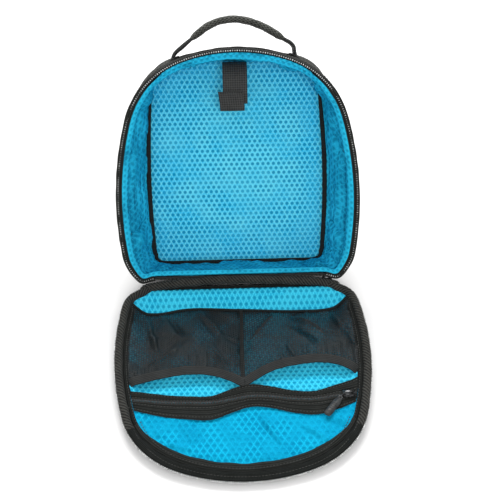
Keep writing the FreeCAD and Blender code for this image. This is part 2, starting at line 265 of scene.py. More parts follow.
def lengths(P, wrap=False, ring=False):
    """UVs in mm along and across a grid of places."""
    def run(axis, closed):
        Q = np.concatenate([P, P.take([0], axis)], axis) if closed else P
        gaps = np.linalg.norm(np.diff(Q, axis=axis), axis=2).mean(1 - axis)
        return np.concatenate([[0], np.cumsum(gaps)])
    return np.stack(np.meshgrid(run(0, wrap), run(1, ring), indexing="ij"), -1)


class Piece:
    """Faces gathered part by part and made into one mesh."""

    def __init__(self):
        self.points, self.faces, self.uvs, self.paints, self.count = [], [], [], [], 0

    def add(self, points, faces, uvs, paint=0):
        """Points, faces as rows of point numbers, and a UV for each corner."""
        self.points.append(np.reshape(points, (-1, 3)))
        self.faces.append(np.asarray(faces, int) + self.count)
        self.uvs.append(np.reshape(uvs, (-1, 2)))
        self.paints.append(np.broadcast_to(paint, (len(faces),)))
        self.count += len(self.points[-1])

    def grid(self, P, uv=None, paint=0, wrap=False, ring=False):
        """A sheet through a grid of places: wrap closes it along, ring closes it across."""
        m, n = P.shape[:2]
        uv = lengths(P, wrap, ring) if uv is None else uv
        a, b = np.meshgrid(np.arange(m - (not wrap)), np.arange(n - (not ring)), indexing="ij")
        turn = [(0, 0), (1, 0), (1, 1), (0, 1)]
        quads = np.stack([((a + i) % m) * n + (b + j) % n for i, j in turn], -1).reshape(-1, 4)
        corners = np.stack([uv[a + i, b + j] for i, j in turn], -2)
        self.add(P, quads, corners, np.broadcast_to(paint, a.shape).ravel())

    def cap(self, loop, paint=0, flip=False, uv=None):
        """A fan over a closed loop."""
        loop = np.concatenate([loop, loop.mean(0, keepdims=True)])
        uv = loop[:, :2] if uv is None else np.concatenate([uv, uv.mean(0, keepdims=True)])
        k = np.arange(len(loop) - 1)
        edge = (k + 1) % len(k), k
        faces = np.stack([*(edge if flip else edge[::-1]), np.full(len(k), len(k))], -1)
        self.add(loop, faces, uv[faces], paint)

    def disc(self, P, x, v):
        """A panel gathered in to its middle, with flat UVs."""
        uv = np.stack([np.concatenate([a, a[:1]]) for a in (x, v)], -1)
        self.grid(P, uv, wrap=True)
        self.cap(P[:, -1], uv=uv[:-1, -1])

    def bar(self, P):
        """A solid swept through rows of closed sections."""
        self.grid(P, ring=True)
        self.cap(P[0])
        self.cap(P[-1], flip=True)

    def make(self, name, paints, body, nodes=(), thick=0.0, offset=-1):
        """One object: offset says to which side of the faces the thickness goes."""
        mesh = bpy.data.meshes.new(name)
        points = np.concatenate(self.points) / 1000
        sizes = np.concatenate([np.full(len(f), f.shape[1]) for f in self.faces])
        corners = np.concatenate([f.ravel() for f in self.faces])
        mesh.vertices.add(len(points))
        mesh.vertices.foreach_set("co", points.ravel())
        mesh.loops.add(len(corners))
        mesh.loops.foreach_set("vertex_index", corners)
        mesh.polygons.add(len(sizes))
        mesh.polygons.foreach_set("loop_start", np.concatenate([[0], np.cumsum(sizes)[:-1]]))
        mesh.polygons.foreach_set("loop_total", sizes)
        mesh.polygons.foreach_set("material_index", np.concatenate(self.paints))
        mesh.polygons.foreach_set("use_smooth", np.ones(len(sizes), bool))
        mesh.uv_layers.new(name="UVMap").data.foreach_set("uv", np.concatenate(self.uvs).ravel())
        mesh.update(calc_edges=True)
        mesh.validate()
        shape = bmesh.new()
        shape.from_mesh(mesh)
        bmesh.ops.remove_doubles(shape, verts=shape.verts, dist=1e-6)
        if not thick:
            bmesh.ops.recalc_face_normals(shape, faces=shape.faces)
        shape.to_mesh(mesh)
        shape.free()
        for paint in paints:
            mesh.materials.append(paint)
        piece = bpy.data.objects.new(name, mesh)
        bpy.context.scene.collection.objects.link(piece)
        if thick:
            solid = piece.modifiers.new("thickness", "SOLIDIFY")
            solid.thickness = thick / 1000
            solid.offset = offset
        if body:
            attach(piece, body)
        if nodes:
            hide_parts(*nodes)
        return piece


def oval(width, height, sides=24, square=4.0):
    """A section between an ellipse (square 2) and a rounded rectangle."""
    t = np.linspace(0, 2 * math.pi, sides, endpoint=False)
    c, s = np.cos(t), np.sin(t)
    return np.stack([width / 2 * np.sign(c) * np.abs(c) ** (2 / square),
                     height / 2 * np.sign(s) * np.abs(s) ** (2 / square)], -1)


def sections(line, across, up, section):
    """Rows of a section set along a line of places."""
    across, up = np.broadcast_to(across, line.shape), np.broadcast_to(up, line.shape)
    section = np.broadcast_to(section, (len(line),) + section.shape[-2:])
    return line[:, None] + across[:, None] * section[..., :1] + up[:, None] * section[..., 1:]


def framed(line, across):
    """The directions across a line and square to it, from about the first."""
    across = unit(np.broadcast_to(across, line.shape))
    return across, unit(np.cross(unit(np.gradient(line, axis=0)), across))


def upright(line, up):
    """The directions across a line and square to it, from about the second."""
    along = unit(np.gradient(line, axis=0))
    across = unit(np.cross(along, up))
    return across, unit(np.cross(across, along))


def moved(P, by, wrap=False):
    """A grid of places, moved along its normals."""
    along = (np.roll(P, -1, 0) - np.roll(P, 1, 0)) / 2 if wrap else np.gradient(P, axis=0)
    return P + unit(np.cross(along, np.gradient(P, axis=1))) * by[..., None]


def rippled(P, wavelength, seed, size, wrap=False):
    return moved(P, ripple(P, wavelength, seed) * size, wrap)


TOOTH = (np.array([(-.5, -.5, -.5), (.5, -.5, -.5), (.5, .5, -.5), (-.5, .5, -.5),
                   (-.5, -.5, .15), (.5, -.5, .15), (.5, .5, .15), (-.5, .5, .15),
                   (-.28, -.3, .5), (.28, -.3, .5), (.28, .3, .5), (-.28, .3, .5)]),
         [(0, 1, 5, 4), (1, 2, 6, 5), (2, 3, 7, 6), (3, 0, 4, 7), (4, 5, 9, 8), (5, 6, 10, 9),
          (6, 7, 11, 10), (7, 4, 8, 11), (8, 9, 10, 11), (3, 2, 1, 0)])
THREAD = (np.array([(-.5, 0, 0), (-.22, -.5, 0), (-.22, 0, .5), (-.22, .5, 0),
                    (.22, -.5, 0), (.22, 0, .5), (.22, .5, 0), (.5, 0, 0)]),
          [(0, 1, 2), (0, 2, 3), (1, 4, 5), (1, 5, 2), (2, 5, 6), (2, 6, 3), (4, 7, 5), (5, 7, 6)])
# Stitches are given by their pitch, length and width.
FINE, SEWN, COARSE = (3.0, 2.0, 0.4), (3.0, 2.1, 0.45), (3.4, 2.5, 0.55)


def repeat(piece, shape, line, up, pitch, size, paint=0):
    """A small shape again and again along a line: size is along, across and up."""
    up = np.broadcast_to(up, line.shape)
    at = np.concatenate([[0], np.cumsum(np.linalg.norm(np.diff(line, axis=0), axis=1))])
    even = np.arange(pitch / 2, at[-1], pitch)
    line, up = (np.stack([np.interp(even, at, column) for column in values.T], -1) for values in (line, up))
    along = unit(np.gradient(line, axis=0))
    across = unit(np.cross(up, along))
    up = np.cross(along, across)
    local = shape[0] * size
    places = (line[:, None] + along[:, None] * local[:, :1] + across[:, None] * local[:, 1:2]
              + up[:, None] * local[:, 2:])
    faces = np.array(shape[1])[None] + np.arange(len(line))[:, None, None] * len(local)
    faces = faces.reshape(-1, faces.shape[-1])
    piece.add(places, faces, places.reshape(-1, 3)[faces][..., :2], paint)


def stitches(piece, line, up, pitch=FINE[0], long=FINE[1], wide=FINE[2]):
    repeat(piece, THREAD, line, up, pitch, (long, wide, wide * 0.8), 1)


def ribbon(piece, line, across, width, thick, inset=None, part=slice(None)):
    """Webbing along a line. With an inset, both faces are sewn that far from the edges of a part."""
    across, up = framed(line, across)
    piece.bar(sections(line, across, up, oval(width, thick, 28, 8)))
    if inset:
        edge_stitches(piece, line[part], across[part], up[part], width, thick, inset)


def edge_stitches(piece, line, across, up, width, thick, inset):
    for side in (-1, 1):
        for face in (-1, 1):
            row = line + across * side * (width / 2 - inset) + up * face * thick / 2
            stitches(piece, row, up * face, *SEWN)


def slab(piece, loop, up, thick, bevel, paint=0):
    """A plate with rounded edges over a closed loop of places."""
    inward = unit(loop.mean(0) - loop) * bevel
    sides = loop + up * bevel, loop + up * (thick - bevel)
    P = np.stack([loop + inward, *sides, loop + inward + up * thick], 1)
    piece.grid(P, None, paint, wrap=True)
    piece.cap(P[:, 0], paint, flip=True)
    piece.cap(P[:, -1], paint)


# ---------------------------------------------------------------- cloth

def settled(piece, shape, growth, frames, cap, bend=0.05):
    """Cloth simulation of a grid that grows larger than its frame, so it wrinkles between its seams.

    Gives each point's start and its move, of at most cap mm.
    """
    mesh = piece.data
    start = np.zeros(len(mesh.vertices) * 3)
    mesh.vertices.foreach_get("co", start)
    for other in piece.modifiers:
        other.show_viewport = False
    at = np.arange(shape[0] * shape[1]).reshape(shape)
    border = np.unique(np.concatenate([at[0], at[-1], at[:, 0], at[:, -1]]))
    group = piece.vertex_groups.new(name="sewn")
    group.add(border.tolist(), 1.0, "REPLACE")
    cloth = piece.modifiers.new("cloth", "CLOTH")
    cloth.settings.vertex_group_mass = "sewn"
    cloth.settings.quality = 6
    cloth.settings.mass = 0.05
    cloth.settings.tension_stiffness = 12
    cloth.settings.compression_stiffness = 12
    cloth.settings.bending_stiffness = bend
    cloth.settings.shrink_min = -growth
    cloth.settings.effector_weights.gravity = 0.0
    cloth.collision_settings.use_collision = False
    cloth.point_cache.frame_start, cloth.point_cache.frame_end = 1, frames
    for number in range(1, frames + 1):
        bpy.context.scene.frame_set(number)
    made = piece.evaluated_get(bpy.context.evaluated_depsgraph_get())
    end = np.zeros_like(start)
    made.data.vertices.foreach_get("co", end)
    piece.modifiers.remove(cloth)
    for other in piece.modifiers:
        other.show_viewport = True
    piece.vertex_groups.remove(group)
    bpy.context.scene.frame_set(1)
    move = (end - start).reshape(-1, 3)
    size = np.linalg.norm(move, axis=1, keepdims=True)
    move *= np.minimum(1, cap / 1000 / np.maximum(size, 1e-9))
    return start.reshape(-1, 3) * 1000, move * 1000


def evened(move, shape, margin, times):
    """Moves of a grid's points, smoothed, and faded out over a margin (a share of each way) at its edges."""
    move = move.reshape(*shape, 3).copy()
    for _ in range(times):
        near = move[:-2, 1:-1] + move[2:, 1:-1] + move[1:-1, :-2] + move[1:-1, 2:]
        move[1:-1, 1:-1] = 0.4 * move[1:-1, 1:-1] + 0.15 * near
    i, j = np.linspace(0, 1, shape[0])[:, None], np.linspace(0, 1, shape[1])[None]
    held = step(np.minimum(i, 1 - i), 0, margin[0]) * step(np.minimum(j, 1 - j), 0, margin[1])
    return (move * held[..., None]).reshape(-1, 3)


def placed(piece, P):
    """Puts a mesh's points at places in mm."""
    piece.data.vertices.foreach_set("co", (P / 1000).ravel())
    piece.data.update()


# ---------------------------------------------------------------- materials

class Value:
    """A node's output, for sums that turn into Math nodes."""

    def __init__(self, paint, socket):
        self.paint, self.socket = paint, socket

    def __add__(self, other):
        return self.paint.math("ADD", self, other)

    def __mul__(self, other):
        return self.paint.math("MULTIPLY", self, other)

    def __sub__(self, other):
        return self + other * -1


class Paint:
    """A node material built by short calls. Patterns are in millimetres of the mesh's UVs."""

    def __init__(self, name, rough, sheen=0.0, metal=0.0, specular=0.5):
        self.material = bpy.data.materials.new(name)
        self.material.use_nodes = True
        self.tree = self.material.node_tree
        self.shader = self.tree.nodes["Principled BSDF"]
        for key, value in (("Roughness", rough), ("Metallic", metal), ("Specular IOR Level", specular),
                           ("Sheen Weight", sheen), ("Sheen Roughness", 0.4)):
            self.shader.inputs[key].default_value = value
        parts = self.node("ShaderNodeSeparateXYZ", self.node("ShaderNodeUVMap").outputs[0])
        self.u, self.v = Value(self, parts.outputs[0]), Value(self, parts.outputs[1])
        self.place = self.node("ShaderNodeTexCoord").outputs["Object"]

    def feed(self, socket, value):
        """Links an output to a socket, or sets a constant on it."""
        value = value.socket if isinstance(value, Value) else value
        if isinstance(value, bpy.types.NodeSocket):
            self.tree.links.new(value, socket)
        elif value is not None:
            socket.default_value = (*value, 1) if isinstance(value, tuple) else value

    def node(self, kind, *inputs, **settings):
        made = self.tree.nodes.new(kind)
        for key, value in settings.items():
            setattr(made, key, value)
        for socket, value in zip(made.inputs, inputs):
            self.feed(socket, value)
        return made

    def math(self, kind, *inputs):
        return Value(self, self.node("ShaderNodeMath", *inputs, operation=kind).outputs[0])

    def wave(self, a, b, pitch):
        """The cosine of stripes across the direction (a, b), from -1 to 1."""
        turn = 2 * math.pi / pitch
        return self.math("COSINE", self.u * (a * turn) + self.v * (b * turn))

    def noise(self, size, detail=2.0, vector=None):
        """Cloudy values about 0.5: size in mm of the object, or of the vector that is given."""
        made = self.node("ShaderNodeTexNoise", vector or self.place)
        made.inputs["Scale"].default_value = 1.0 / size if vector else 1000.0 / size
        made.inputs["Detail"].default_value = detail
        return Value(self, made.outputs[0])

    def ramp(self, value, low, high):
        made = self.node("ShaderNodeMapRange", value, low, high, interpolation_type="SMOOTHSTEP")
        return Value(self, made.outputs[0])

    def mix(self, share, first, second):
        made = self.node("ShaderNodeMix", data_type="RGBA")
        for k, value in ((0, share), (6, first), (7, second)):
            self.feed(made.inputs[k], value)
        return made.outputs[2]

    def finish(self, colour, height=None, depth=0.3, rough=None, alpha=None):
        """Links the finished nodes to the shader: depth of the relief in mm."""
        for key, value in (("Base Color", colour), ("Roughness", rough), ("Alpha", alpha)):
            self.feed(self.shader.inputs[key], value)
        if height is not None:
            bump = self.node("ShaderNodeBump", 1.0, depth / 1000)
            self.feed(bump.inputs["Height"], height)
            self.feed(self.shader.inputs["Normal"], bump.outputs[0])
        return self.material


def toned(first, second, share):
    return tuple((1 - share) * a + share * b for a, b in zip(first, second))


def spacer_mesh(name, pitch, tones, holes, lines, fuzz, soft=0.0, thin=0.55, streaks=0.0, wide=0.0,
                patchy=0.0, painted_shade_oval=None):
    """Blue spacer mesh: a hexagonal lattice of holes with bright threads between them.

    Holes and lines are the pattern's strengths, and soft, wide and thin its widths. Streaks run into the
    depth of a side wall, and with them come a painted highlight under the rim and a painted fold shadow
    deeper in. Patchy lets the pattern come and go. The last argument is the reach across, the reach along
    and the middle of an oval outside which the colour darkens: painted shade towards the lining's edges.
    """
    deep, mid, light = tones
    p = Paint(name, rough=0.85, specular=0.05)
    root = math.sqrt(3) / 2
    row = pitch * root
    left, level, right = p.wave(root, -0.5, row), p.wave(0, 1, row), p.wave(root, 0.5, row)
    grain, cloud = p.noise(1.3, 3.0), p.noise(28.0)
    hole = p.ramp(left + level + right + (grain - 0.5) * fuzz, 0.3 - soft - wide, 2.2 + soft - wide)
    thread = (p.ramp(left, -thin, -0.98) + p.ramp(right, -thin, -0.98)) * p.ramp(grain, 0.15, 0.6)
    shade = p.mix(p.ramp(cloud, 0.25, 0.75), mid, toned(mid, light, 0.45))
    if streaks:
        ridge = p.v + (cloud - 0.5) * 20.0
        low = p.ramp(ridge, 14.0, 18.0) * p.ramp(ridge, 30.0, 20.0)
        long = p.noise(6.5, 3.0, p.node("ShaderNodeCombineXYZ", p.u * 0.24, p.v).outputs[0])
        # Painted highlight: lighter under the rim, where the lining's ridge faces the light.
        shade = p.mix(p.ramp(ridge, 16.0, 6.0) * 0.55, shade, light)
        # Painted shade: a darker band about 14 to 30 mm deep, the shadow of the fold below the ridge.
        shade = p.mix(low * 0.5, shade, deep)
        shade = p.mix(p.ramp(long, 0.47, 0.30) * streaks, shade, deep)
        shade = p.mix(p.ramp(long, 0.52, 0.72) * streaks, shade, light)
    # Painted shade: the colour darkens away from an oval round the lining's middle.
    if painted_shade_oval:
        aside, along = p.u * (1 / painted_shade_oval[0]), (p.v - painted_shade_oval[2]) * (1 / painted_shade_oval[1])
        shade = p.mix(p.ramp(aside * aside + along * along, 0.25, 1.7) * 0.62, shade, toned(deep, mid, 0.65))
    plain = p.ramp(p.noise(24.0, 1.5), 0.44, 0.56) * -patchy + 1.0
    shade = p.mix(p.ramp(grain, 0.35, 0.75) * 0.45, shade, light)
    shade = p.mix(thread * lines * plain, shade, light)
    shade = p.mix(hole * holes * plain, shade, deep)
    return p.finish(shade, hole * -1.0 + thread * 0.35 + grain * 0.5, 0.55)


# A weave is two sets of stripes, each a direction and a share of the pitch, and the second set's
# strength and base.
WEAVES = {"plain": ((1, 0, 1), (0, 1, 1), 1, 0), "cross": ((0.7, 0.7, 1), (0.7, -0.7, 1), 1, 0),
          "twill": ((0.75, 0.66, 1), (0.66, -0.75, 1.6), 0.35, 0.8),
          "ribs": ((1, 0, 1), (0, 1, 1.3), 0.3, 0.75), "lengths": ((0, 1, 1), (1, 0, 0.6), 0.35, 0.75)}


def fabric(name, dark, light, weave, pitch, depth=0.25, rough=0.8, specular=0.14):
    """Black woven goods."""
    p = Paint(name, rough, sheen=0.03, specular=specular)
    grain, cloud = p.noise(max(0.9, pitch * 0.6), 2.5), p.noise(9.0, 3.0)
    first, second, strength, base = WEAVES[weave]
    waves = [p.wave(a, b, pitch * share) for a, b, share in (first, second)]
    height = waves[0] * (waves[1] * strength + base) * 0.5 + grain * 0.6
    shade = p.ramp(height, -0.08, 0.68) * 0.82 + p.ramp(cloud, 0.3, 0.7) * 0.18
    return p.finish(p.mix(shade, dark, light), height, depth)


def net(pitch=2.2):
    """Fine black mesh: threads with open cells between them, closer together in its folds."""
    p = Paint("mesh", rough=0.42, specular=0.34)
    cells = p.wave(1, 0, pitch) + p.wave(0.5, 0.866, pitch) + p.wave(-0.5, 0.866, pitch)
    cloud = p.ramp(p.noise(26.0, 2.5), 0.36, 0.66)
    open_part = p.ramp(cells + (p.noise(1.2) - 0.5) * 0.8, 0.1, 1.7)
    alpha = cloud * -0.15 + 0.975 - open_part * (cloud * 0.26 + 0.07)
    colour = p.mix(p.ramp(cells, -1.5, 2.0), (0.013, 0.016, 0.016), (0.002, 0.004, 0.005))
    return p.finish(colour, cells * -0.5, 0.35, alpha=alpha)


def hard(name, dark, light, rough, metal=0.0, scratch=2.0, depth=0.02):
    """Metal, moulded plastic or rubber, with worn and dull places."""
    p = Paint(name, rough, metal=metal)
    cloud = p.noise(scratch, 4.0)
    dull = p.ramp(cloud, 0.2, 0.8) * 0.18 + (rough - 0.09)
    colour = p.mix(p.ramp(cloud, 0.3, 0.7), dark, light)
    return p.finish(colour, p.noise(scratch * 0.35, 3.0), depth, rough=dull)


SHELL = fabric("shell nylon", (0.006, 0.007, 0.006), (0.060, 0.063, 0.056), "plain", 3.4, 0.40)
BAND = fabric("band nylon", (0.003, 0.004, 0.003), (0.017, 0.019, 0.018), "cross", 2.0, 0.35, specular=0.10)
TAPE = fabric("zip tape", (0.004, 0.005, 0.004), (0.024, 0.026, 0.024), "lengths", 2.0)
ROLL = fabric("binding", (0.003, 0.003, 0.003), (0.058, 0.058, 0.051), "twill", 2.6, 0.70, specular=0.22)
WEB = fabric("webbing", (0.006, 0.006, 0.006), (0.044, 0.046, 0.045), "cross", 3.2, 0.35, 0.62, 0.28)
GRIP = fabric("grip", (0.010, 0.011, 0.010), (0.120, 0.123, 0.110), "plain", 4.2, 0.50)
SEAM = fabric("bound seam", (0.004, 0.005, 0.005), (0.020, 0.021, 0.020), "ribs", 1.6)
STRETCH = fabric("elastic", (0.010, 0.011, 0.011), (0.042, 0.045, 0.045), "lengths", 1.6, 0.20, 0.6)
THREADS = fabric("thread", (0.03, 0.032, 0.03), (0.09, 0.09, 0.085), "ribs", 0.5, 0.1)
FOAM = fabric("foam", (0.05, 0.05, 0.05), (0.10, 0.10, 0.10), "cross", 0.9, 0.3)
NET = net()
# The back lining's blue darkens away from an oval round its middle: painted shade.
BACK_BLUE = spacer_mesh("back lining", 5.5, ((0.0, 0.22, 0.42), (0.020, 0.53, 0.90), (0.20, 0.86, 1.0)),
                        0.80, 0.45, 0.6, wide=0.75, patchy=0.25, painted_shade_oval=(88.0, 92.0, 108.0))
# The side lining is the same blue as the back lining, given darker tones as painted shade on the side walls;
# its streaks also paint a highlight near the rim and a fold shadow deeper in.
SIDE_BLUE_PAINTED_SHADING = spacer_mesh("side lining", 5.5, ((0.0, 0.09, 0.20), (0.004, 0.29, 0.50), (0.03, 0.60, 0.90)),
                        0.42, 0.25, 2.8, soft=0.4, streaks=0.75)
LID_BLUE = spacer_mesh("lid lining", 5.6, ((0.0, 0.18, 0.36), (0.007, 0.42, 0.72), (0.07, 0.75, 1.0)),
                       0.52, 0.85, 0.6, thin=0.7)
PANEL_BLUE = spacer_mesh("pocket panel", 6.3, ((0.0, 0.15, 0.31), (0.0, 0.265, 0.49), (0.006, 0.50, 0.78)),
                         0.42, 1.0, 0.6, thin=0.78, patchy=0.7)
BOARD = hard("board", (0.10, 0.09, 0.08), (0.16, 0.15, 0.13), 0.8, scratch=6.0)
# The teeth are coloured pale grey to near white: a painted highlight for the glints along the zip.
TEETH_PAINTED_GLINT = hard("zip teeth", (0.22, 0.225, 0.225), (0.80, 0.81, 0.80), 0.45)
COIL = hard("zip coil", (0.012, 0.012, 0.012), (0.045, 0.046, 0.045), 0.4)
METAL = hard("gunmetal", (0.02, 0.021, 0.022), (0.12, 0.122, 0.125), 0.3, metal=1.0, scratch=3.0)
RUBBER = hard("rubber", (0.010, 0.011, 0.012), (0.034, 0.036, 0.037), 0.5, scratch=4.0, depth=0.05)
RUBBER_DARK = hard("rubber end", (0.006, 0.006, 0.006), (0.014, 0.014, 0.014), 0.6, scratch=4.0, depth=0.05)

# ---------------------------------------------------------------- tub

CROWN = 2.4 * hill(RIM[:, 0], 0, 34) * TOP
FOAM_INSET = 1.8 + 1.2 * (1 - BASE) * (1 - 0.7 * TOP)


def tub_shell():
    """The side wall: a shallow dip under the zip's seam, then a soft swell to the rounded back edge."""
    w = np.concatenate([np.linspace(-1.6, -9.5, 7), np.linspace(-10.5, -BACK_STEP, 26),
                        -BACK_STEP - 8 * np.sin(np.linspace(0.12, math.pi / 2, 12))])
    swell = rows(1.6 + 0.6 * TOP + CROWN) * np.sin(math.pi * np.clip((-w - 10) / 46, 0, 1))
    edge = -5 * (1 - np.sqrt(np.clip(1 - (np.clip(-w - BACK_STEP, 0, 8) / 8) ** 2, 0, 1)))
    P = tub_wall(rows(1 - 0.7 * BASE) * (swell - 0.9 * hill(w, -10, 1.3)) + edge, w[None])
    lumps = (ripple(P, 42, 3) * 0.7 + ripple(P, 17, 4) * 0.25) * step(-w, 8, 22)
    lumps = lumps * (1 - 0.6 * step(-w, 50, 60))
    wall = Piece()
    wall.grid(above_floor(moved(P, lumps, wrap=True)), wrap=True)
    line, out_way = wall_line(tub_wall, 0.5, -12.4)
    stitches(wall, above_floor(line), out_way, *COARSE)
    wall.make("tub_gusset_cloth", (SHELL, THREADS), "tub", ["tub_gusset"], 1.2, 1)


def tub_back():
    """The outer back, pressed in to its middle, and the piping round it."""
    lift = step(BACK[:, 1], 12, 60)[:, None]
    x, v, w = crowned(BACK - BACK_OUT * 5.2, (0, 118), 40,
                      lambda share, x, v: -TUB_DEPTH + 0.9 - 2.6 * lift * step(1 - share, 0, 0.35))
    panel = Piece()
    panel.disc(above_floor(rippled(tub(x, v, w), 60, 8, 0.6 * lift, wrap=True)), x, v)
    line = tub(*(BACK - BACK_OUT * 8.0).T, -TUB_DEPTH + 0.2)
    stitches(panel, above_floor(line[25:-25]), -TUB_OUT, *COARSE)
    panel.make("tub_back_cloth", (SHELL, THREADS), "tub", ["tub_back_panel"], 1.0, 1)
    core = BACK - BACK_OUT * 4.2
    out_way = unit(tub(*(core + BACK_OUT).T, -TUB_DEPTH) - tub(*core.T, -TUB_DEPTH))
    P = sections(tub(*core.T, -TUB_DEPTH + 1.1), out_way, TUB_OUT, oval(2.6, 2.6, 10, 2))
    piping = Piece()
    piping.grid(above_floor(P), wrap=True, ring=True)
    piping.make("tub_back_piping", (SEAM,), "tub")


def rim_tape():
    """The zip's tape rolls over the rim, and its teeth stand on the edge."""
    side = [(0.3, -9.8), (1.0, -8.6), (1.2, -5), (1.0, -2.4), (0.3, -1.2), (-0.9, -0.9), (-2.6, -1.5),
            (-4.2, -2.4), (-5.6, -3.4), (-6.6, -4.8)]
    top = [(0.3, -9.8), (0.8, -8.6), (0.9, -5), (0.8, -2.4), (0.4, -1.3), (-0.3, -1.1), (-1.0, -1.9),
           (-1.5, -3.1), (-1.9, -4.4), (-2.2, -5.8)]
    ring = np.arange(nearest(RIM, 89, 3.2), nearest(RIM, -89, 3.2) + 1)
    tape = Piece()
    tape.grid(above_floor(rippled(tub_wall(*blended(side, top, TOP[ring], 26), ring), 15, 21, 0.16)))
    stitches(tape, *wall_line(tub_wall, 1.2, -7.6, ring))
    tape.make("tub_zip_cloth", (TAPE, THREADS), "tub", ["tub_zip_tape"], 0.7, 0)
    line, _ = wall_line(tub_wall, -1.5 + 0.7 * TOP[ring], -1.2 + 0.7 * TOP[ring], ring)
    chain = Piece()
    repeat(chain, TOOTH, line, TUB_OUT, 2.3, (1.0, 1.25, 1.2))
    chain.make("tub_zip_teeth", (TEETH_PAINTED_GLINT,), "tub", ["tub_zip_chain"])


CREASES = [nearest(RIM, 79, 3), nearest(RIM, -81, 3)]
TUCKS = [(nearest(RIM, 93, 196), -1), (nearest(RIM, -97, 187), 1)]
LEFT, RIGHT, CREST = (nearest(RIM, x, v) * RING_STEP for x, v in ((-119.5, 50), (119.5, 46), (28, 228)))
WALL_FOLDS = [((LEFT + 4, -12), (LEFT - 5, -46), -3.4, 3.0), ((LEFT + 12, -14), (LEFT + 8, -40), 3.0, 5.0),
              ((RIGHT - 4, -12), (RIGHT + 6, -48), -3.4, 3.0),
              ((RIGHT - 12, -14), (RIGHT - 8, -42), 3.0, 5.0),
              ((LEFT - 60, -12), (LEFT - 90, -40), -2.6, 4.5),
              ((RIGHT + 62, -10), (RIGHT + 96, -40), -2.6, 4.5),
              ((CREST - 5, -15), (CREST + 6, -18), -3.0, 1.7)]


def rows_from(centre):
    """How many rows of the ring each row lies past a centre, by the shorter way round."""
    return ((RING - centre + COUNT // 2) % COUNT - COUNT // 2)[:, None]


def lining_wall():
    """The puffy inner wall, as places for each row of the ring, from under the zip to the back's seam."""
    start, deep = 5.2 - 4.6 * TOP - 0.8 * BASE, 7.0 - 4.0 * BASE
    front = [(-0.9, -3.9), (-0.3, -2.3), (0.9, -1.2), (2.7, -1.5), (4.1, -4.2)]
    back = [(1.9, -8), (-0.9, -13), (1.0, -20), (2.4, -29), (1.0, -41), (-0.2, -50), (-0.4, -55.0),
            (2.2, -57.6)]
    keys = np.stack([start + a for a, _ in front] + [deep + a * (1 - 0.6 * BASE) for a, _ in back], -1)
    places, at = np.linspace(0, 1, keys.shape[1]), np.linspace(0, 1, 44)
    depth = through(list(zip(places, [w for _, w in front + back])), at)
    inset = np.stack([through(list(zip(places, row)), at) for row in keys])
    for centre in CREASES:
        gap = np.abs(rows_from(centre))
        inset += -4.6 * np.exp(-(gap / 1.5) ** 2) * step(-depth, 4, 22)
        inset += 1.9 * hill(gap, 6, 3.2) * step(-depth, 2, 20)
    for centre, side in TUCKS:
        gap = rows_from(centre)
        inset += -4.5 * np.exp(-(gap / 1.6) ** 2) * step(-depth, 12, 46)
        inset += 3.4 * hill(gap * side, 7, 4.5) * step(-depth, 10, 44)
    inset += sum(fold(RING[:, None] * RING_STEP, depth[None], *furrow) for furrow in WALL_FOLDS)
    P = tub_wall(-np.maximum(inset, FOAM_INSET[:, None] + 1.6), depth[None])
    streaks = np.stack(np.broadcast_arrays(RING[:, None] * 0.5, depth), -1)
    lumps = ripple(P, 30, 31) * 1.1 + ripple(P, 13, 32) * 0.5 + ripple(P, 6.5, 33) * 0.2
    lumps = lumps + ripple(streaks, 12, 34) * 0.8
    lumps = lumps * step(-depth, 5, 14) * rows(1 - 0.5 * BASE) * (1 - step(-depth, 46, 55))
    return moved(P, lumps, wrap=True)


def puffed(lining, P):
    """Lets a side lining wrinkle between its seams, mostly into the tub and never into the foam."""
    start, move = settled(lining, P.shape[:2], 0.12, 24, 7.0, bend=0.4)
    move = evened(move, P.shape[:2], (0.05, 0.16), 5).reshape(P.shape)
    move = (move * step(np.linspace(0, 1, P.shape[1]), 0.36, 0.56)[:, None]).reshape(-1, 3)
    inward = (moved(P, np.ones(P.shape[:2])) - P).reshape(-1, 3)
    inward *= np.sign(np.sum(inward * (tub(0, 112, -30) - start), axis=1, keepdims=True))
    into = np.sum(move * inward, axis=1, keepdims=True)
    placed(lining, start + move + inward * (np.clip(into, -0.5, 4.0) - into))


def side_linings():
    """Four spacer-mesh walls that meet in creases."""
    P = lining_wall()
    uv = lengths(P, wrap=True)
    splits = [nearest(RIM, x, v) for x, v in ((79, 3), (70, 213), (-70, 213), (-81, 3))]
    splits.append(splits[0] + COUNT)
    for name, first, last in zip(("right", "top", "left", "base"), splits, splits[1:]):
        ring = np.arange(first, last + 1)
        part = P[ring % COUNT]
        wall = Piece()
        wall.grid(part, np.stack(np.broadcast_arrays(ring[:, None] * uv[1, 0, 0], uv[0, :, 1]), -1))
        lining = wall.make("lining_%s_mesh" % name, (SIDE_BLUE_PAINTED_SHADING,), None, (), 1.2)
        puffed(lining, part)
        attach(lining, "tub")
        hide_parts("lining_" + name)


def foam():
    """The soft layer between the lining and the side wall."""
    outer, inner = (tub_wall(rows(out), np.linspace(-4, -56, 20)[None]) for out in (-1.4, -FOAM_INSET))
    layer = Piece()
    layer.grid(above_floor(np.concatenate([outer, inner[:, ::-1]], 1)), wrap=True, ring=True)
    layer.make("tub_foam_layer", (FOAM,), "tub", ["tub_foam"])


def back_lining():
    """The crisp back lining, a shallow pillow inside its bound seam."""
    def depth(share, x, v):
        flat = np.stack([x, v], -1)
        puff = 2.2 * step(1 - share, 0, 0.12) + 0.9 * step(1 - share, 0.1, 0.9)
        return -57.2 + puff + 0.35 * ripple(flat, 55, 41) + 0.18 * ripple(flat, 21, 42)

    inset = 7.4 - 3.6 * step(-BACK_OUT[:, 1], 0.5, 0.95)
    x, v, w = crowned(BACK - BACK_OUT * inset[:, None], (0, 112), 60, depth)
    back = Piece()
    back.disc(tub(x, v, w), x, v)
    lining = back.make("lining_back_mesh", (BACK_BLUE,), "tub", ["lining_back"], 1.6, 1)


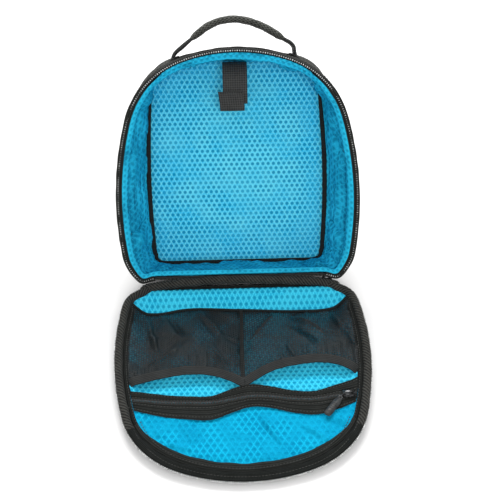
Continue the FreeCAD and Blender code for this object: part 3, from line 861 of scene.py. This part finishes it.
def back_seam():
    """The bound seam round the back lining, from one tuck down and round to the other."""
    ring = np.arange(nearest(BACK, -90, 193), nearest(BACK, 87, 201) + COUNT) % COUNT
    t = np.linspace(0, 1, len(ring))
    inset = 7.6 - 3.7 * step(-BACK_OUT[ring, 1], 0.5, 0.95)
    core = BACK[ring] - BACK_OUT[ring] * inset[:, None]
    across = unit(tub(*(core - BACK_OUT[ring]).T, 0) - tub(*core.T, 0))
    width = (0.45 + 0.55 * step(t, 0, 0.12) * (1 - step(t, 0.9, 1.0)))[:, None, None]
    line = tub(*core.T, -52.9 + 0.3 * np.sin(t * 60))
    seam = Piece()
    seam.bar(sections(line, across, TUB_OUT, oval(4.8, 3.0, 14, 2.4) * width))
    seam.make("back_seam_tape", (SEAM,), "tub", ["back_seam_binding"])


def hinge_roll():
    """The fat woven roll over the fabric hinge, arched in its middle and tapered at its ends."""
    keys = [(-103, -8.6), (-98, -6.2), (-91, -4.2), (-75, -1.8), (-48, 0.4), (-10, 2.2), (30, 1.0),
            (60, -0.6), (81, -2.6), (92, -4.4), (98, -6.2), (103, -8.4)]
    x = np.linspace(-103, 103, 430)
    line = tub(x, through(keys, x) + 0.25 * np.sin(x / 5.3) + 0.2 * np.sin(x / 3.1 + 1), -0.6)
    turns = np.linspace(0, 2 * math.pi, 30, endpoint=False)
    twist = 2 * math.pi * x[:, None]
    weave = 0.16 * np.sin(twist / 2.6 + turns * 3) + 0.10 * np.sin(twist / 3.4 - turns * 4)
    radius = 4.35 * (1 - np.clip((np.abs(x) - 94) / 9.2, 0, 1) ** 3)[:, None] + weave
    roll = Piece()
    circle = np.stack([np.cos(turns) * radius, np.sin(turns) * radius], -1)
    roll.bar(sections(line, *upright(line, TUB_OUT), circle))
    roll.make("hinge_roll", (ROLL,), "tub", ["hinge_binding"])


def strap():
    """The strap's two legs, and the tab that closes over them."""
    upper = [(216.5, -57), (218.0, -45), (218.9, -30), (217.0, -20.5), (210.0, -16.2), (197, -14.9),
             (187, -15.0), (178.5, -15.4)]
    lower = [(172.6, -57), (172.9, -40), (173.2, -24), (173.8, -18.0), (175.6, -16.9), (177.0, -17.0)]
    for name, keys, steps, x in (("upper", upper, 90, -0.6), ("lower", lower, 50, -3.6)):
        leg = Piece()
        ribbon(leg, tub(x, *path(keys, steps).T), ACROSS, 24.6, 1.5, 1.6)
        leg.make("strap_%s_web" % name, (WEB, THREADS), "tub", ["strap_" + name])
    flap = [(172.6, -15.6), (172.2, -14.3), (173.6, -13.2), (178, -12.9), (185, -12.6), (188.8, -12.7),
            (190.6, -13.0)]
    v, w = path(flap, 60).T
    tab = Piece()
    line = tub(through([(171, -3.6), (182, -4.4), (194, -6.2)], v), v, w)
    ribbon(tab, line, ACROSS, 24.4, 1.5, 1.4, slice(12, -3))
    for v, x in ((188.4, -5.8), (176.6, -4.0)):
        stitches(tab, tub(np.linspace(-10.6, 10.6, 30) + x, v, -11.9), TUB_OUT, *SEWN)
    tab.make("strap_tab", (WEB, THREADS), "strap_flap_body", ["strap_flap"])


HANDLE_W = -36.0


def handle():
    """The handle's webbing, bent between the tub and the grip, and the padded grip sewn round it."""
    keys = [(-63.5, 220), (-61.0, 228), (-52.4, 235.8), (-43, 243.4), (-36.0, 249), (-24, 256.8),
            (-13.5, 260.6), (-3, 262), (7, 261.4), (17, 259), (27, 255.2), (37, 250), (45, 244.9),
            (51, 240.9), (56.6, 237.6), (59.8, 233.6), (60.4, 229), (63.0, 220)]
    x, v = path(keys, 150).T
    line = tub(x, v, HANDLE_W)
    across, up = framed(line, TUB_OUT)
    leg = (2.6 + 1.5 * hill(x, -53, 7) + 0.9 * hill(x, 54, 6))[:, None, None]
    web = Piece()
    web.bar(sections(line, across, up, oval(1, 1, 28, 6)[None] * np.concatenate([24.6 + 0 * leg, leg], -1)))
    for part in (slice(8, 40), slice(-36, -8)):
        edge_stitches(web, line[part], across[part], up[part], 24.6, 2.6, 1.8)
    piece = web.make("handle_web", (WEB, THREADS), None, ["handle_webbing"])
    start, end = (Vector(tub(0, height, HANDLE_W) / 1000) for height in (226, 238))
    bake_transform(piece)
    line = line[np.flatnonzero((v > 243.0) & (x < 0))[0]:np.flatnonzero((v > 241.0) & (x > 0))[-1]]
    full = (1 - (2 * np.linspace(0, 1, len(line)) - 1) ** 14)[:, None]
    section = oval(1, 1, 36, 3.0)[None] * np.stack([25.2 + 2.6 * full, 3.2 + 3.9 * full], -1)
    P = sections(line, *framed(line, TUB_OUT), section)
    P = P + unit(P - line[:, None]) * (ripple(P, 9, 51) * 0.28)[..., None]
    grip = Piece()
    grip.bar(P)
    seam = P[2:-2, 27] if P[5, 27, 2] < P[5, 9, 2] else P[2:-2, 9]
    stitches(grip, seam, unit(seam - line[2:-2]), 3.4, 2.4, 0.5)
    grip.make("handle_pad", (GRIP, THREADS), "handle", ["handle_grip"])


def anchors():
    """Sewn patches where the handle's webbing enters the seam."""
    t = np.linspace(-7.5, 7.5, 24)
    for side, x, v, turn in (("left", -62.6, 224.6, 0.62), ("right", 61.6, 225.4, -0.62)):
        line = tub(x + t * math.cos(turn), v + t * math.sin(turn) - 0.020 * t ** 2 - 1.6, HANDLE_W)
        patch = Piece()
        ribbon(patch, line, TUB_OUT, 27.0, 1.7, 2.0, slice(2, -2))
        patch.make("handle_patch_" + side, (WEB, THREADS), "tub", ["handle_anchor_" + side])


def rim_slider():
    """The rim zip's slider and its puller, parked behind the hinge roll."""
    x, v = np.array([(85, -3.2), (88, -3.6), (95, -2.2), (95, 2.0), (88, 3.4), (85, 3.0)]).T
    body = Piece()
    slab(body, tub(x, v, -13.0), TUB_OUT, 3.0, 0.6)
    slab(body, tub(x * 0.96 + 3.6, v * 0.86, -8.8), TUB_OUT, 2.8, 0.6)
    slab(body, tub([88.6, 91.4, 91.4, 88.6], [-1.2, -1.2, 1.2, 1.2], -10.6), TUB_OUT, 2.4, 0.2)
    body.make("rim_slider_body", (METAL,), "tub", ["rim_slider"])
    tab = Piece()
    hang = path([(-4.2, -9.8), (-5.6, -11.6), (-9.6, -14.2), (-13.6, -16.4)], 20)
    ribbon(tab, tub(90, *hang.T), ACROSS, 5.6, 1.4)
    tab.make("rim_puller_tab", (RUBBER,), "rim_puller_body", ["rim_puller"])


# ---------------------------------------------------------------- lid

LID_FLOOR = 4.6
SIDE_ROLL = [(0.0, 7.0), (0.6, 5.0), (0.4, 2.6), (-0.8, 1.1), (-3.0, 0.6), (-5.2, 1.1), (-6.4, 2.7),
             (-6.8, 4.6), (-7.4, 6.2)]
FAR_BAND = [(-3.4, 4.9), (-2.2, 4.1), (-1.5, 2.8), (-1.8, 1.7), (-3.2, 1.4), (-5.6, 1.6), (-8.0, 1.1),
            (-9.8, 1.2), (-10.8, 3.6)]
SIDE_TAPE = [(-6.9, 6.0), (-7.6, 4.4), (-8.6, 3.7), (-10.4, 4.0), (-11.6, 4.9), (-12.2, 6.6)]
FAR_TAPE = [(-10.4, 4.4), (-11.4, 3.3), (-12.8, 2.5), (-16.0, 2.1), (-19.2, 2.3), (-20.4, 3.9)]


def level(ring_out):
    """The outward way over the table for lid outlines."""
    return np.concatenate([ring_out * (1, -1), np.zeros((COUNT, 1))], -1)


def lid_shell():
    """The lid's side band, its outer panel and the piping between them."""
    t = np.linspace(0, 1, 22)[None, :, None]
    rim = lid_wall(rows(0.2 - 2.4 * FAR), rows(3.4))
    foot = tray(*(PANEL + PANEL_OUT * 0.6).T, 0.3)[:, None]
    P = rim * (1 - t) + foot * t
    bulge = np.sin(math.pi * t)
    P = P + level(RIM_OUT)[:, None] * (1.5 * bulge * (1 - BASE - 0.6 * FAR)[:, None, None])
    band = Piece()
    band.grid(above_floor(rippled(P, 36, 61, 0.5 * bulge[..., 0], wrap=True)), wrap=True)
    band.make("lid_gusset_cloth", (BAND,), "lid", ["lid_gusset"], 1.0, 1)
    x, v, z = crowned(PANEL, (0, 105), 40, lambda share, x, v: 0.3 + 0 * x)
    panel = Piece()
    panel.disc(tray(x, v, z), x, v)
    stitches(panel, tray(*(PANEL - PANEL_OUT * 3.0).T, FLOOR_GAP + 0.1), -UP, *COARSE)
    panel.make("lid_panel_cloth", (SHELL, THREADS), "lid", ["lid_outer_panel"], 1.0)
    P = sections(tray(*(PANEL + PANEL_OUT * 0.8).T, 1.5), level(PANEL_OUT), UP, oval(2.6, 2.4, 10, 2))
    piping = Piece()
    piping.grid(above_floor(P), wrap=True, ring=True)
    piping.make("lid_piping", (SEAM,), "lid")


def lid_rim():
    """The tape rolled over the lid's sides, flat at the far end, with the teeth along its outer edge."""
    n, w = blended(SIDE_ROLL, FAR_BAND, FAR, 26)
    slim = rows(0.9 * (RIM[:, 1] < 30) * (1 - step(np.abs(RIM[:, 0]), 82, 101)))
    n = n * (1 - slim) + 1.2 * slim
    ring = np.arange(nearest(RIM, 84, 3.2), nearest(RIM, -84, 3.2) + 1)
    near = 1 - FAR[ring]
    P = lid_wall(n[ring], w[ring], ring)
    turns = 2 * math.pi * lengths(P)[..., 0]
    ribs = 0.22 * np.sin(turns / 4.6) + 0.12 * np.sin(turns / 2.9 + 1)
    P = P + UP * (ribs * step(-w[ring], -3.4, -1.4) * near[:, None])[..., None]
    tape = Piece()
    tape.grid(above_floor(rippled(P, 16, 71, 0.25)), paint=3 * (FAR[ring][:-1, None] > 0.15))
    n, w = blended(SIDE_TAPE, FAR_TAPE, FAR, 18)
    far = np.flatnonzero(RIM[:, 1] > 168)
    tape.grid(above_floor(rippled(lid_wall(n[far], w[far], far), 22, 72, 0.3)), paint=2)
    for out, depth in ((-5.6, 1.2), (-14.4, 1.9)):
        stitches(tape, wall_line(lid_wall, out, depth, far)[0], UP)
    paints = ROLL, THREADS, TAPE, BAND
    tape.make("lid_zip_cloth", paints, "lid", ["lid_zip_tape"], 0.6, 0)
    line, away = wall_line(lid_wall, 0.9 * near - 0.5 * FAR[ring], 3.4 * near + 2.3 * FAR[ring], ring)
    chain = Piece()
    repeat(chain, TOOTH, line, away, 2.0, (1.1, 2.0, 1.0))
    chain.make("lid_zip_teeth", (TEETH_PAINTED_GLINT,), "lid", ["lid_zip_chain"])


def lid_bindings():
    """The tapes inside the rolls at the lid's sides, narrower near the hinge."""
    n, w = blended(SIDE_TAPE, FAR_TAPE, FAR, 18)
    for name, sign in (("left", -1), ("right", 1)):
        ring = np.flatnonzero((RIM[:, 0] * sign > 97) & (RIM[:, 1] > 9) & (RIM[:, 1] < 178))
        close = (1 - step(RIM[ring, 1], 9, 34))[:, None]
        P = lid_wall(n[ring] + close * (2.5 + 5.0 * np.linspace(0, 1, 18)), w[ring] + 1.2 * close, ring)
        P = rippled(P, 14, 75, 0.22)
        tape = Piece()
        tape.grid(P)
        stitches(tape, P[:, 10] + 0.35 * UP, UP)
        nodes = ["lid_binding_" + name]
        tape.make("lid_tape_" + name, (BAND, THREADS), "lid", nodes, 0.7, 0)


def lid_height(x, v):
    """The lid lining's height: flat in the middle, coved up to the hinge and the sides."""
    gap = np.min(np.hypot(x[..., None] - RIM[::3, 0], v[..., None] - RIM[::3, 1]), axis=-1)
    top = floor_at(v, 6.0 + 2.0 * step(v, 120, 150))
    return LID_FLOOR + np.maximum(top - LID_FLOOR, 0) * (1 - step(gap, 5, 24))


def lid_lining():
    ring = RIM - RIM_OUT * (7.0 - 5.5 * BASE[:, None])
    x, v, z = crowned(ring, (0, 108), 64, lambda share, x, v: lid_height(x, v))
    flat = np.stack([x, v], -1)
    z = z + 0.35 * ripple(flat, 34, 81) * step(v, 6, 16) + 0.12 * ripple(flat, 12, 82)
    z = z + (np.minimum(z, floor_at(v, 5.4)) - z) * step(v, 150, 190)
    lining = Piece()
    lining.disc(tray(x, v, np.maximum(z, 3.2)), x, v)
    piece = lining.make("lid_lining_mesh", (LID_BLUE,), "lid", ["lid_lining"], 1.0)


# The mesh pockets: their seam, their mouths, how high the mouths stand, and their folds.
SEAM_LINE = [(-113, 21), (-105, 25), (-97, 27.4), (-84, 28.4), (-62, 24.6), (0, 25.8), (59, 29), (88, 27.6),
             (100, 24), (113, 18)]
MOUTHS = {"left": [(-112, 120), (-74, 112), (-54, 109.6), (-33, 110.4), (-12, 116.5), (-1, 122)],
          "right": [(1, 121), (25, 108), (50, 102), (76, 100), (94, 103.5), (112, 112)]}
MOUTH_RISE = {"left": [(-112, 10), (-80, 13.2), (-52, 14.6), (-25, 13.2), (-1, 9.4)],
              "right": [(1, 9.4), (25, 13.6), (60, 15.8), (90, 14.6), (112, 10.4)]}
MESH_FOLDS = {"left": [((-96, 34), (-84, 82), 2.2, 3.0), ((-70, 40), (-58, 66), -1.6, 3.2),
                       ((-40, 36), (-22, 60), 1.8, 2.8), ((-28, 84), (-16, 104), 1.6, 2.2),
                       ((-90, 96), (-66, 84), 1.4, 2.4)],
              "right": [((12, 70), (34, 42), 2.6, 3.4), ((44, 50), (72, 84), -2.2, 3.0),
                        ((52, 44), (80, 76), 2.4, 3.0), ((92, 34), (98, 58), 2.6, 3.0),
                        ((34, 84), (38, 102), 1.8, 1.8), ((44, 82), (50, 99), 1.8, 1.8),
                        ((58, 84), (60, 98), 1.5, 1.8), ((98, 60), (110, 84), 1.8, 2.6)]}


def mesh_cloth(side, x, s, t, z, seed):
    """One pocket's mesh, from its seam at t 0 to its mouth at t 1."""
    flat = np.stack(np.broadcast_arrays(x, s), -1)
    z = z + (0.5 * ripple(flat, 26, seed) + 0.3 * ripple(flat, 11, seed + 1)) * np.sin(math.pi * t)
    z = z + 0.9 * np.sin(x * 1.05 + 2.0 * np.sin(x / 9)) * np.exp(-(1 - t) * 5) * step(1 - t, 0, 0.06)
    z = z + sum(fold(x, s, *crease) for crease in MESH_FOLDS[side]) * 2.9 * np.sin(math.pi * t) ** 0.5
    z = np.maximum(z, lid_height(*flat.transpose(2, 0, 1)) + 1.8)
    sheet = Piece()
    sheet.grid(tray(x, s, z), flat)
    piece = sheet.make("mesh_%s" % side, (NET,), None)
    start, move = settled(piece, z.shape, 0.08, 26, 6.0)
    end = start + evened(move, z.shape, (0.06, 0.06), 1)
    s_end = SHIFT + (HINGE_HEIGHT - end[:, 2]) * math.tan(LID_TILT) - end[:, 1]
    end[:, 2] = np.maximum(end[:, 2], lid_height(end[:, 0], s_end) + 1.8)
    placed(piece, end)
    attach(piece, "lid")
    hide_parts("mesh_pocket_" + side)
    return piece


def mesh_pockets():
    """Gathered see-through pockets, each held by a seam, the side tape, the divider and its elastic."""
    t = np.linspace(0, 1, 60)[None]
    for side, ends, seed in (("left", (-112, 0.6), 91), ("right", (-1.4, 112), 95)):
        x = np.linspace(*ends, 76)[:, None]
        low, high = through(SEAM_LINE, x), through(MOUTHS[side], x)
        inner = (x - ends[0]) / (ends[1] - ends[0])
        inner = 1 - inner if side == "right" else inner
        z0, z1 = lid_height(x, low) + 1.6, through(MOUTH_RISE[side], x)
        dome = 3.0 * np.sin(math.pi * inner) ** 0.7 - 2.0 * hill(inner, 1, 0.05)
        z = z0 + (z1 - z0) * t + np.sin(math.pi * t) * dome
        piece = mesh_cloth(side, x, low + (high - low) * t, t, z, seed)
        hem = Piece()
        line, up = tray(x, low, z0 + 0.3)[:, 0], np.array([0, 0.3, 0.95])
        hem.bar(sections(line, *upright(line, up), oval(4.2, 1.8, 14, 3)))
        stitches(hem, line + up * 0.9, up)
        bound = hem.make("mesh_hem_" + side, (SEAM, THREADS), "lid")
        edge = Piece()
        line = tray(x, high, z1 + 0.5 - 4.0 * step(np.abs(x), 103, 111))[:, 0]
        line = line + UP * (ripple(line, 9, seed + 2) * 0.2)[:, None]
        across, up = upright(line, unit(np.array([0, -0.35, 0.94])))
        edge.bar(sections(line, across, up, oval(8.6, 1.9, 26, 5)))
        for shift in (-3.2, 3.2):
            stitches(edge, line + across * shift + up * 0.95, up, 2.6, 1.8, 0.4)
        nodes = ["pocket_elastic_" + side]
        band = edge.make("mesh_elastic_" + side, (STRETCH, THREADS), "lid", nodes)


def divider():
    s = np.linspace(26.5, 122, 60)
    line = tray(-0.4 + 0.5 * np.sin(s / 21), s, through([(26, 8.6), (50, 7.8), (90, 8.0), (122, 10.2)], s))
    strip = Piece()
    ribbon(strip, line, ACROSS, 3.8, 1.5)
    for side in (-0.8, 0.8):
        stitches(strip, line + side * ACROSS + 0.8 * UP, UP)
    strip.make("pocket_divider_tape", (SEAM, THREADS), "lid", ["pocket_divider"])


BAND_LOW = [(-108, 149), (-102, 151), (-80, 157.5), (-56, 162), (-30, 163.5), (-12, 156), (5, 150.5),
            (22, 152), (45, 158.5), (68, 161), (88, 154.5), (108, 144.5)]
BAND_HIGH = [(-108, 128), (-82, 132.5), (-56, 136), (-30, 136.5), (-12, 128.5), (4, 124), (22, 126.5),
             (45, 132.5), (66, 134), (84, 128), (108, 118.5)]
COIL_LINE = [(-108, 138.6), (-80, 141.8), (-56, 143.6), (-30, 144.2), (-12, 141), (5, 138.2), (22, 139),
             (45, 142.4), (66, 143.4), (84, 140.6), (97, 138.6), (108, 136.6)]
TAPE_RISE = 8.2
TAPE_RIBS = [(0.06, 0.05, 0.55), (0.34, 0.05, 0.5), (0.62, 0.05, 0.55), (0.93, 0.06, 0.5)]
PANEL_FOLDS = [((14, 160), (34, 196), 2.0, 3.2), ((22, 158), (46, 190), -1.6, 3.0),
               ((48, 168), (74, 190), 1.8, 3.0),
               ((-44, 196), (-70, 188), 1.6, 2.8), ((-84, 172), (-64, 188), 1.2, 2.8),
               ((80, 164), (92, 172), 1.4, 2.4)]


def zip_band():
    """The wavy zip of the lower pocket: two ribbed tapes with the coil between them."""
    x = np.linspace(-111, 111, 240)[:, None]
    t = np.linspace(0, 1, 44)[None]
    sag = 0.5 * ripple(np.concatenate([x, 0 * x], -1), 48, 101)[:, None]
    for name, outer, sign in (("upper", BAND_HIGH, 1), ("lower", BAND_LOW, -1)):
        edge = through(outer, x)
        s = edge + (through(COIL_LINE, x) - 1.3 * sign - edge) * t
        flat = np.stack(np.broadcast_arrays(x, s), -1)
        ribs = sum(tall * hill(t, at, wide) for at, wide, tall in TAPE_RIBS)
        z = TAPE_RISE - 0.5 + sag + ribs * 1.5 + 0.16 * ripple(flat, 8, 102 + sign)
        z = z - 1.8 * step(0.05 - t, 0, 0.05) * (sign > 0)
        z = np.maximum(z, lid_height(*flat.transpose(2, 0, 1)) + 1.7)
        tape = Piece()
        tape.grid(tray(x, s, z))
        for k in (8, 33):
            stitches(tape, tray(x[:, 0], s[:, k], z[:, k] + 0.4), UP)
        nodes = ["pocket_zip_tape_" + name]
        tape.make("zip_tape_" + name, (TAPE, THREADS), "lid", nodes, 0.8, 0)
    x, sag = x[:, 0], sag[:, 0]
    coil = Piece()
    s = through(COIL_LINE, x)
    line = tray(x, s, np.maximum(TAPE_RISE + 0.1 + sag, lid_height(x, s) + 2.2))
    repeat(coil, TOOTH, line, UP, 1.45, (0.95, 3.6, 1.3))
    coil.make("zip_coil_teeth", (COIL,), "lid", ["pocket_zip_coil"])
    welt = Piece()
    s = through(BAND_HIGH, x) + 1.0
    ribbon(welt, tray(x, s, np.maximum(6.6 + sag, lid_height(x, s))), np.array([0, 1.0, 0.2]), 3.0, 2.0)
    welt.make("zip_welt_roll", (SEAM,), "lid", ["pocket_zip_welt"])


def zip_panel():
    """The loose blue panel from the zip to the far edge, with slack taken up in soft wrinkles."""
    edge = RIM - RIM_OUT * rows(12.0 + 8.0 * FAR) * 0.93
    upper = edge[edge[:, 1] > 128]
    upper = upper[np.argsort(upper[:, 0])]
    x, t = np.linspace(-106, 106, 110)[:, None], np.linspace(0, 1, 44)[None]
    far = np.interp(x, *upper.T)
    near = np.minimum(through(BAND_LOW, x) - 2.5, far - 2)
    s = near + (far - near) * t
    flat = np.stack(np.broadcast_arrays(x, s), -1)
    lining = lid_height(*flat.transpose(2, 0, 1))
    arch = np.sin(math.pi * t)
    z = TAPE_RISE - 0.6 + (floor_at(far, 3.0) - TAPE_RISE + 0.6) * t + 1.0 * arch * step(far - near, 4, 30)
    z = z + (0.8 * ripple(flat, 34, 111) + 0.4 * ripple(flat, 15, 112)) * arch
    z = z + sum(fold(x, s, *crease) for crease in PANEL_FOLDS) * 2.6 * arch ** 0.5
    # The panel lies low and calm where the strap's tab reaches it when the case is closed.
    z = z - 3.0 * hill(x, -5, 15) * hill(s, 166, 9)
    calm = 1 - 0.95 * hill(x, -5, 17) * hill(s, 166, 10)
    z = np.maximum(z, lining + 1.9)
    z = z + (np.minimum(z, floor_at(s, 3.6)) - z) * step(t, 0.85, 0.97)
    panel = Piece()
    panel.grid(tray(x, s, z), flat)
    piece = panel.make("zip_panel_mesh", (PANEL_BLUE,), None)
    start, move = settled(piece, z.shape, 0.06, 26, 3.5)
    end = start + evened(move, z.shape, (0.05, 0.25), 3) * calm.reshape(-1, 1)
    end[:, 2] = np.maximum(end[:, 2], np.minimum(start[:, 2], lining.ravel() + 1.9))
    placed(piece, end)
    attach(piece, "lid")
    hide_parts("zip_pocket_panel")


def slider():
    """The slider: a body over the coil, and a bridge that carries the puller."""
    low, high = (np.array(corner) * 1000 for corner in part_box("pocket_slider"))
    base = low[2] - 0.2
    middle = (low[1] + high[1]) / 2
    shape = [(0, -0.34), (0.12, -0.46), (0.45, -0.50), (0.80, -0.40), (1, -0.28), (1, 0.28), (0.80, 0.40),
             (0.45, 0.50), (0.12, 0.46), (0, 0.34)]
    size = high - low
    loop = np.array([(low[0] + a * size[0], middle + b * size[1], base) for a, b in shape])
    body = Piece()
    slab(body, loop, UP, 1.5, 0.35)
    slab(body, (loop - loop.mean(0)) * (0.86, 0.55, 1) + loop.mean(0) + UP * 1.3, UP, 0.9, 0.3)
    x = np.linspace(low[0] + 1.0, high[0] - 2.6, 20)
    rise = 1.6 + 1.7 * np.sin(np.linspace(0, math.pi, 20)) ** 0.6
    arch = np.stack([x, np.full(20, middle), base + rise], -1)
    body.bar(sections(arch, *framed(arch, np.array([0, 1.0, 0])), oval(2.6, 0.9, 14, 4)))
    body.make("slider_body", (METAL,), "slider", ["pocket_slider"])


def puller():
    """A flat moulded tab: a rim round a sunk face, with a darker tip and a link at its root."""
    root = np.array(JOINTS["pocket_puller_swing"]["pos_m"]) * 1000
    axis = np.array(JOINTS["pocket_puller_swing"]["axis"], float)
    low = np.array(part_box("pocket_puller")[0]) * 1000
    along = np.array([-axis[1], axis[0], 0])
    along = along * (-1 if (low[0] - root[0]) * along[0] < 0 else 1)
    long, wide = 25.0, 7.2
    base = root + UP * (low[2] - root[2])

    def outlined(shape, height):
        return np.array([base + along * a + axis * b for a, b in shape]) + UP * height

    tip = [(long - 2.2 + 2.2 * math.sin(a), wide / 2 * math.cos(a)) for a in np.linspace(math.pi, 0, 12)]
    left = [(0.6, -wide * 0.32), (2.4, -wide * 0.36), (6.0, -wide / 2)]
    loop = outlined(left + tip + [(a, -b) for a, b in left[::-1]], 0)
    tab = Piece()
    slab(tab, loop, UP, 1.6, 0.45)
    slab(tab, loop.mean(0) + (loop - loop.mean(0)) * (0.84, 0.84, 1) + UP * 1.45, UP, 0.35, 0.15)
    end = [(long - 5.5, -wide * 0.36)] + [(a - 0.5, b * 0.86) for a, b in tip] + [(long - 5.5, wide * 0.36)]
    slab(tab, outlined(end, 1.5), UP, 0.4, 0.15, 1)
    for a in np.arange(4) * 2.4 + 8.0:
        slab(tab, outlined([(a, -2.2), (a + 1.2, -2.2), (a + 1.2, 2.2), (a, 2.2)], 1.6), UP, 0.45, 0.15)
    turns = np.linspace(0, 2 * math.pi, 26, endpoint=False)[:, None]
    link = root + along * (0.9 + 2.1 * np.cos(turns)) + np.sin(turns) * axis * 1.7 + UP * 0.2
    P = sections(link, unit(link - root - along * 0.9), UP, oval(1.1, 1.1, 10, 2))
    tab.grid(P, None, 2, wrap=True, ring=True)
    tab.make("slider_tab", (RUBBER, RUBBER_DARK, METAL), "puller", ["pocket_puller"])


# ---------------------------------------------------------------- stage, light and camera

def stage(reach=6.0):
    mesh = bpy.data.meshes.new("floor")
    mesh.from_pydata([(-reach, -reach, 0), (reach, -reach, 0), (reach, reach, 0), (-reach, reach, 0)], [],
                     [(0, 1, 2, 3)])
    floor = bpy.data.objects.new("floor", mesh)
    bpy.context.scene.collection.objects.link(floor)
    p = Paint("table", rough=0.6, specular=0.2)
    mesh.materials.append(p.finish(p.mix(p.noise(400.0), (0.90, 0.895, 0.89), (0.92, 0.92, 0.92))))


def area_light(name, place, aim, size, power):
    light = bpy.data.lights.new(name, "AREA")
    light.shape = "RECTANGLE"
    light.size, light.size_y = size
    light.energy = power
    lamp = bpy.data.objects.new(name, light)
    lamp.location = place
    lamp.rotation_euler = (Vector(aim) - Vector(place)).to_track_quat("-Z", "Y").to_euler()
    bpy.context.scene.collection.objects.link(lamp)


def lights():
    world = bpy.data.worlds.new("studio")
    world.use_nodes = True
    world.node_tree.nodes["Background"].inputs[0].default_value = (1, 1, 1, 1)
    world.node_tree.nodes["Background"].inputs[1].default_value = 0.62
    scene = bpy.context.scene
    scene.world = world
    scene.view_settings.view_transform = "Standard"
    scene.view_settings.look = "None"
    area_light("back", (0.0, 1.05, 1.1), (0, -0.1, 0.05), (1.2, 0.5), 22)
    area_light("front", (0.1, -1.5, 1.15), (0, 0.06, 0.12), (0.7, 0.5), 14)


VIEW_AZIMUTH, VIEW_HEIGHT, VIEW_REACH = math.radians(-2.11), math.radians(42.71), 0.9
VIEW_AIM = Vector((0.0078, -0.0609 + SHIFT / 1000, 0.1231))


def camera():
    data = bpy.data.cameras.new("camera")
    data.lens = 71.5
    data.sensor_width = 36
    seat = bpy.data.objects.new("camera", data)
    level = math.cos(VIEW_HEIGHT)
    back = Vector((math.sin(VIEW_AZIMUTH) * level, -math.cos(VIEW_AZIMUTH) * level, math.sin(VIEW_HEIGHT)))
    seat.location = VIEW_AIM + back * VIEW_REACH
    seat.rotation_euler = (-back).to_track_quat("-Z", "Y").to_euler()
    bpy.context.scene.collection.objects.link(seat)
    bpy.context.scene.camera = seat


for board in ("tub_back_board", "lid_board"):
    frame["nodes"][board].data.materials.clear()
    frame["nodes"][board].data.materials.append(BOARD)
for build in (tub_shell, tub_back, rim_tape, side_linings, foam, back_lining, back_seam, hinge_roll, strap,
              handle, anchors, rim_slider, lid_shell, lid_rim, lid_bindings, lid_lining, mesh_pockets,
              divider, zip_band, zip_panel, slider, puller, stage, lights, camera):
    build()
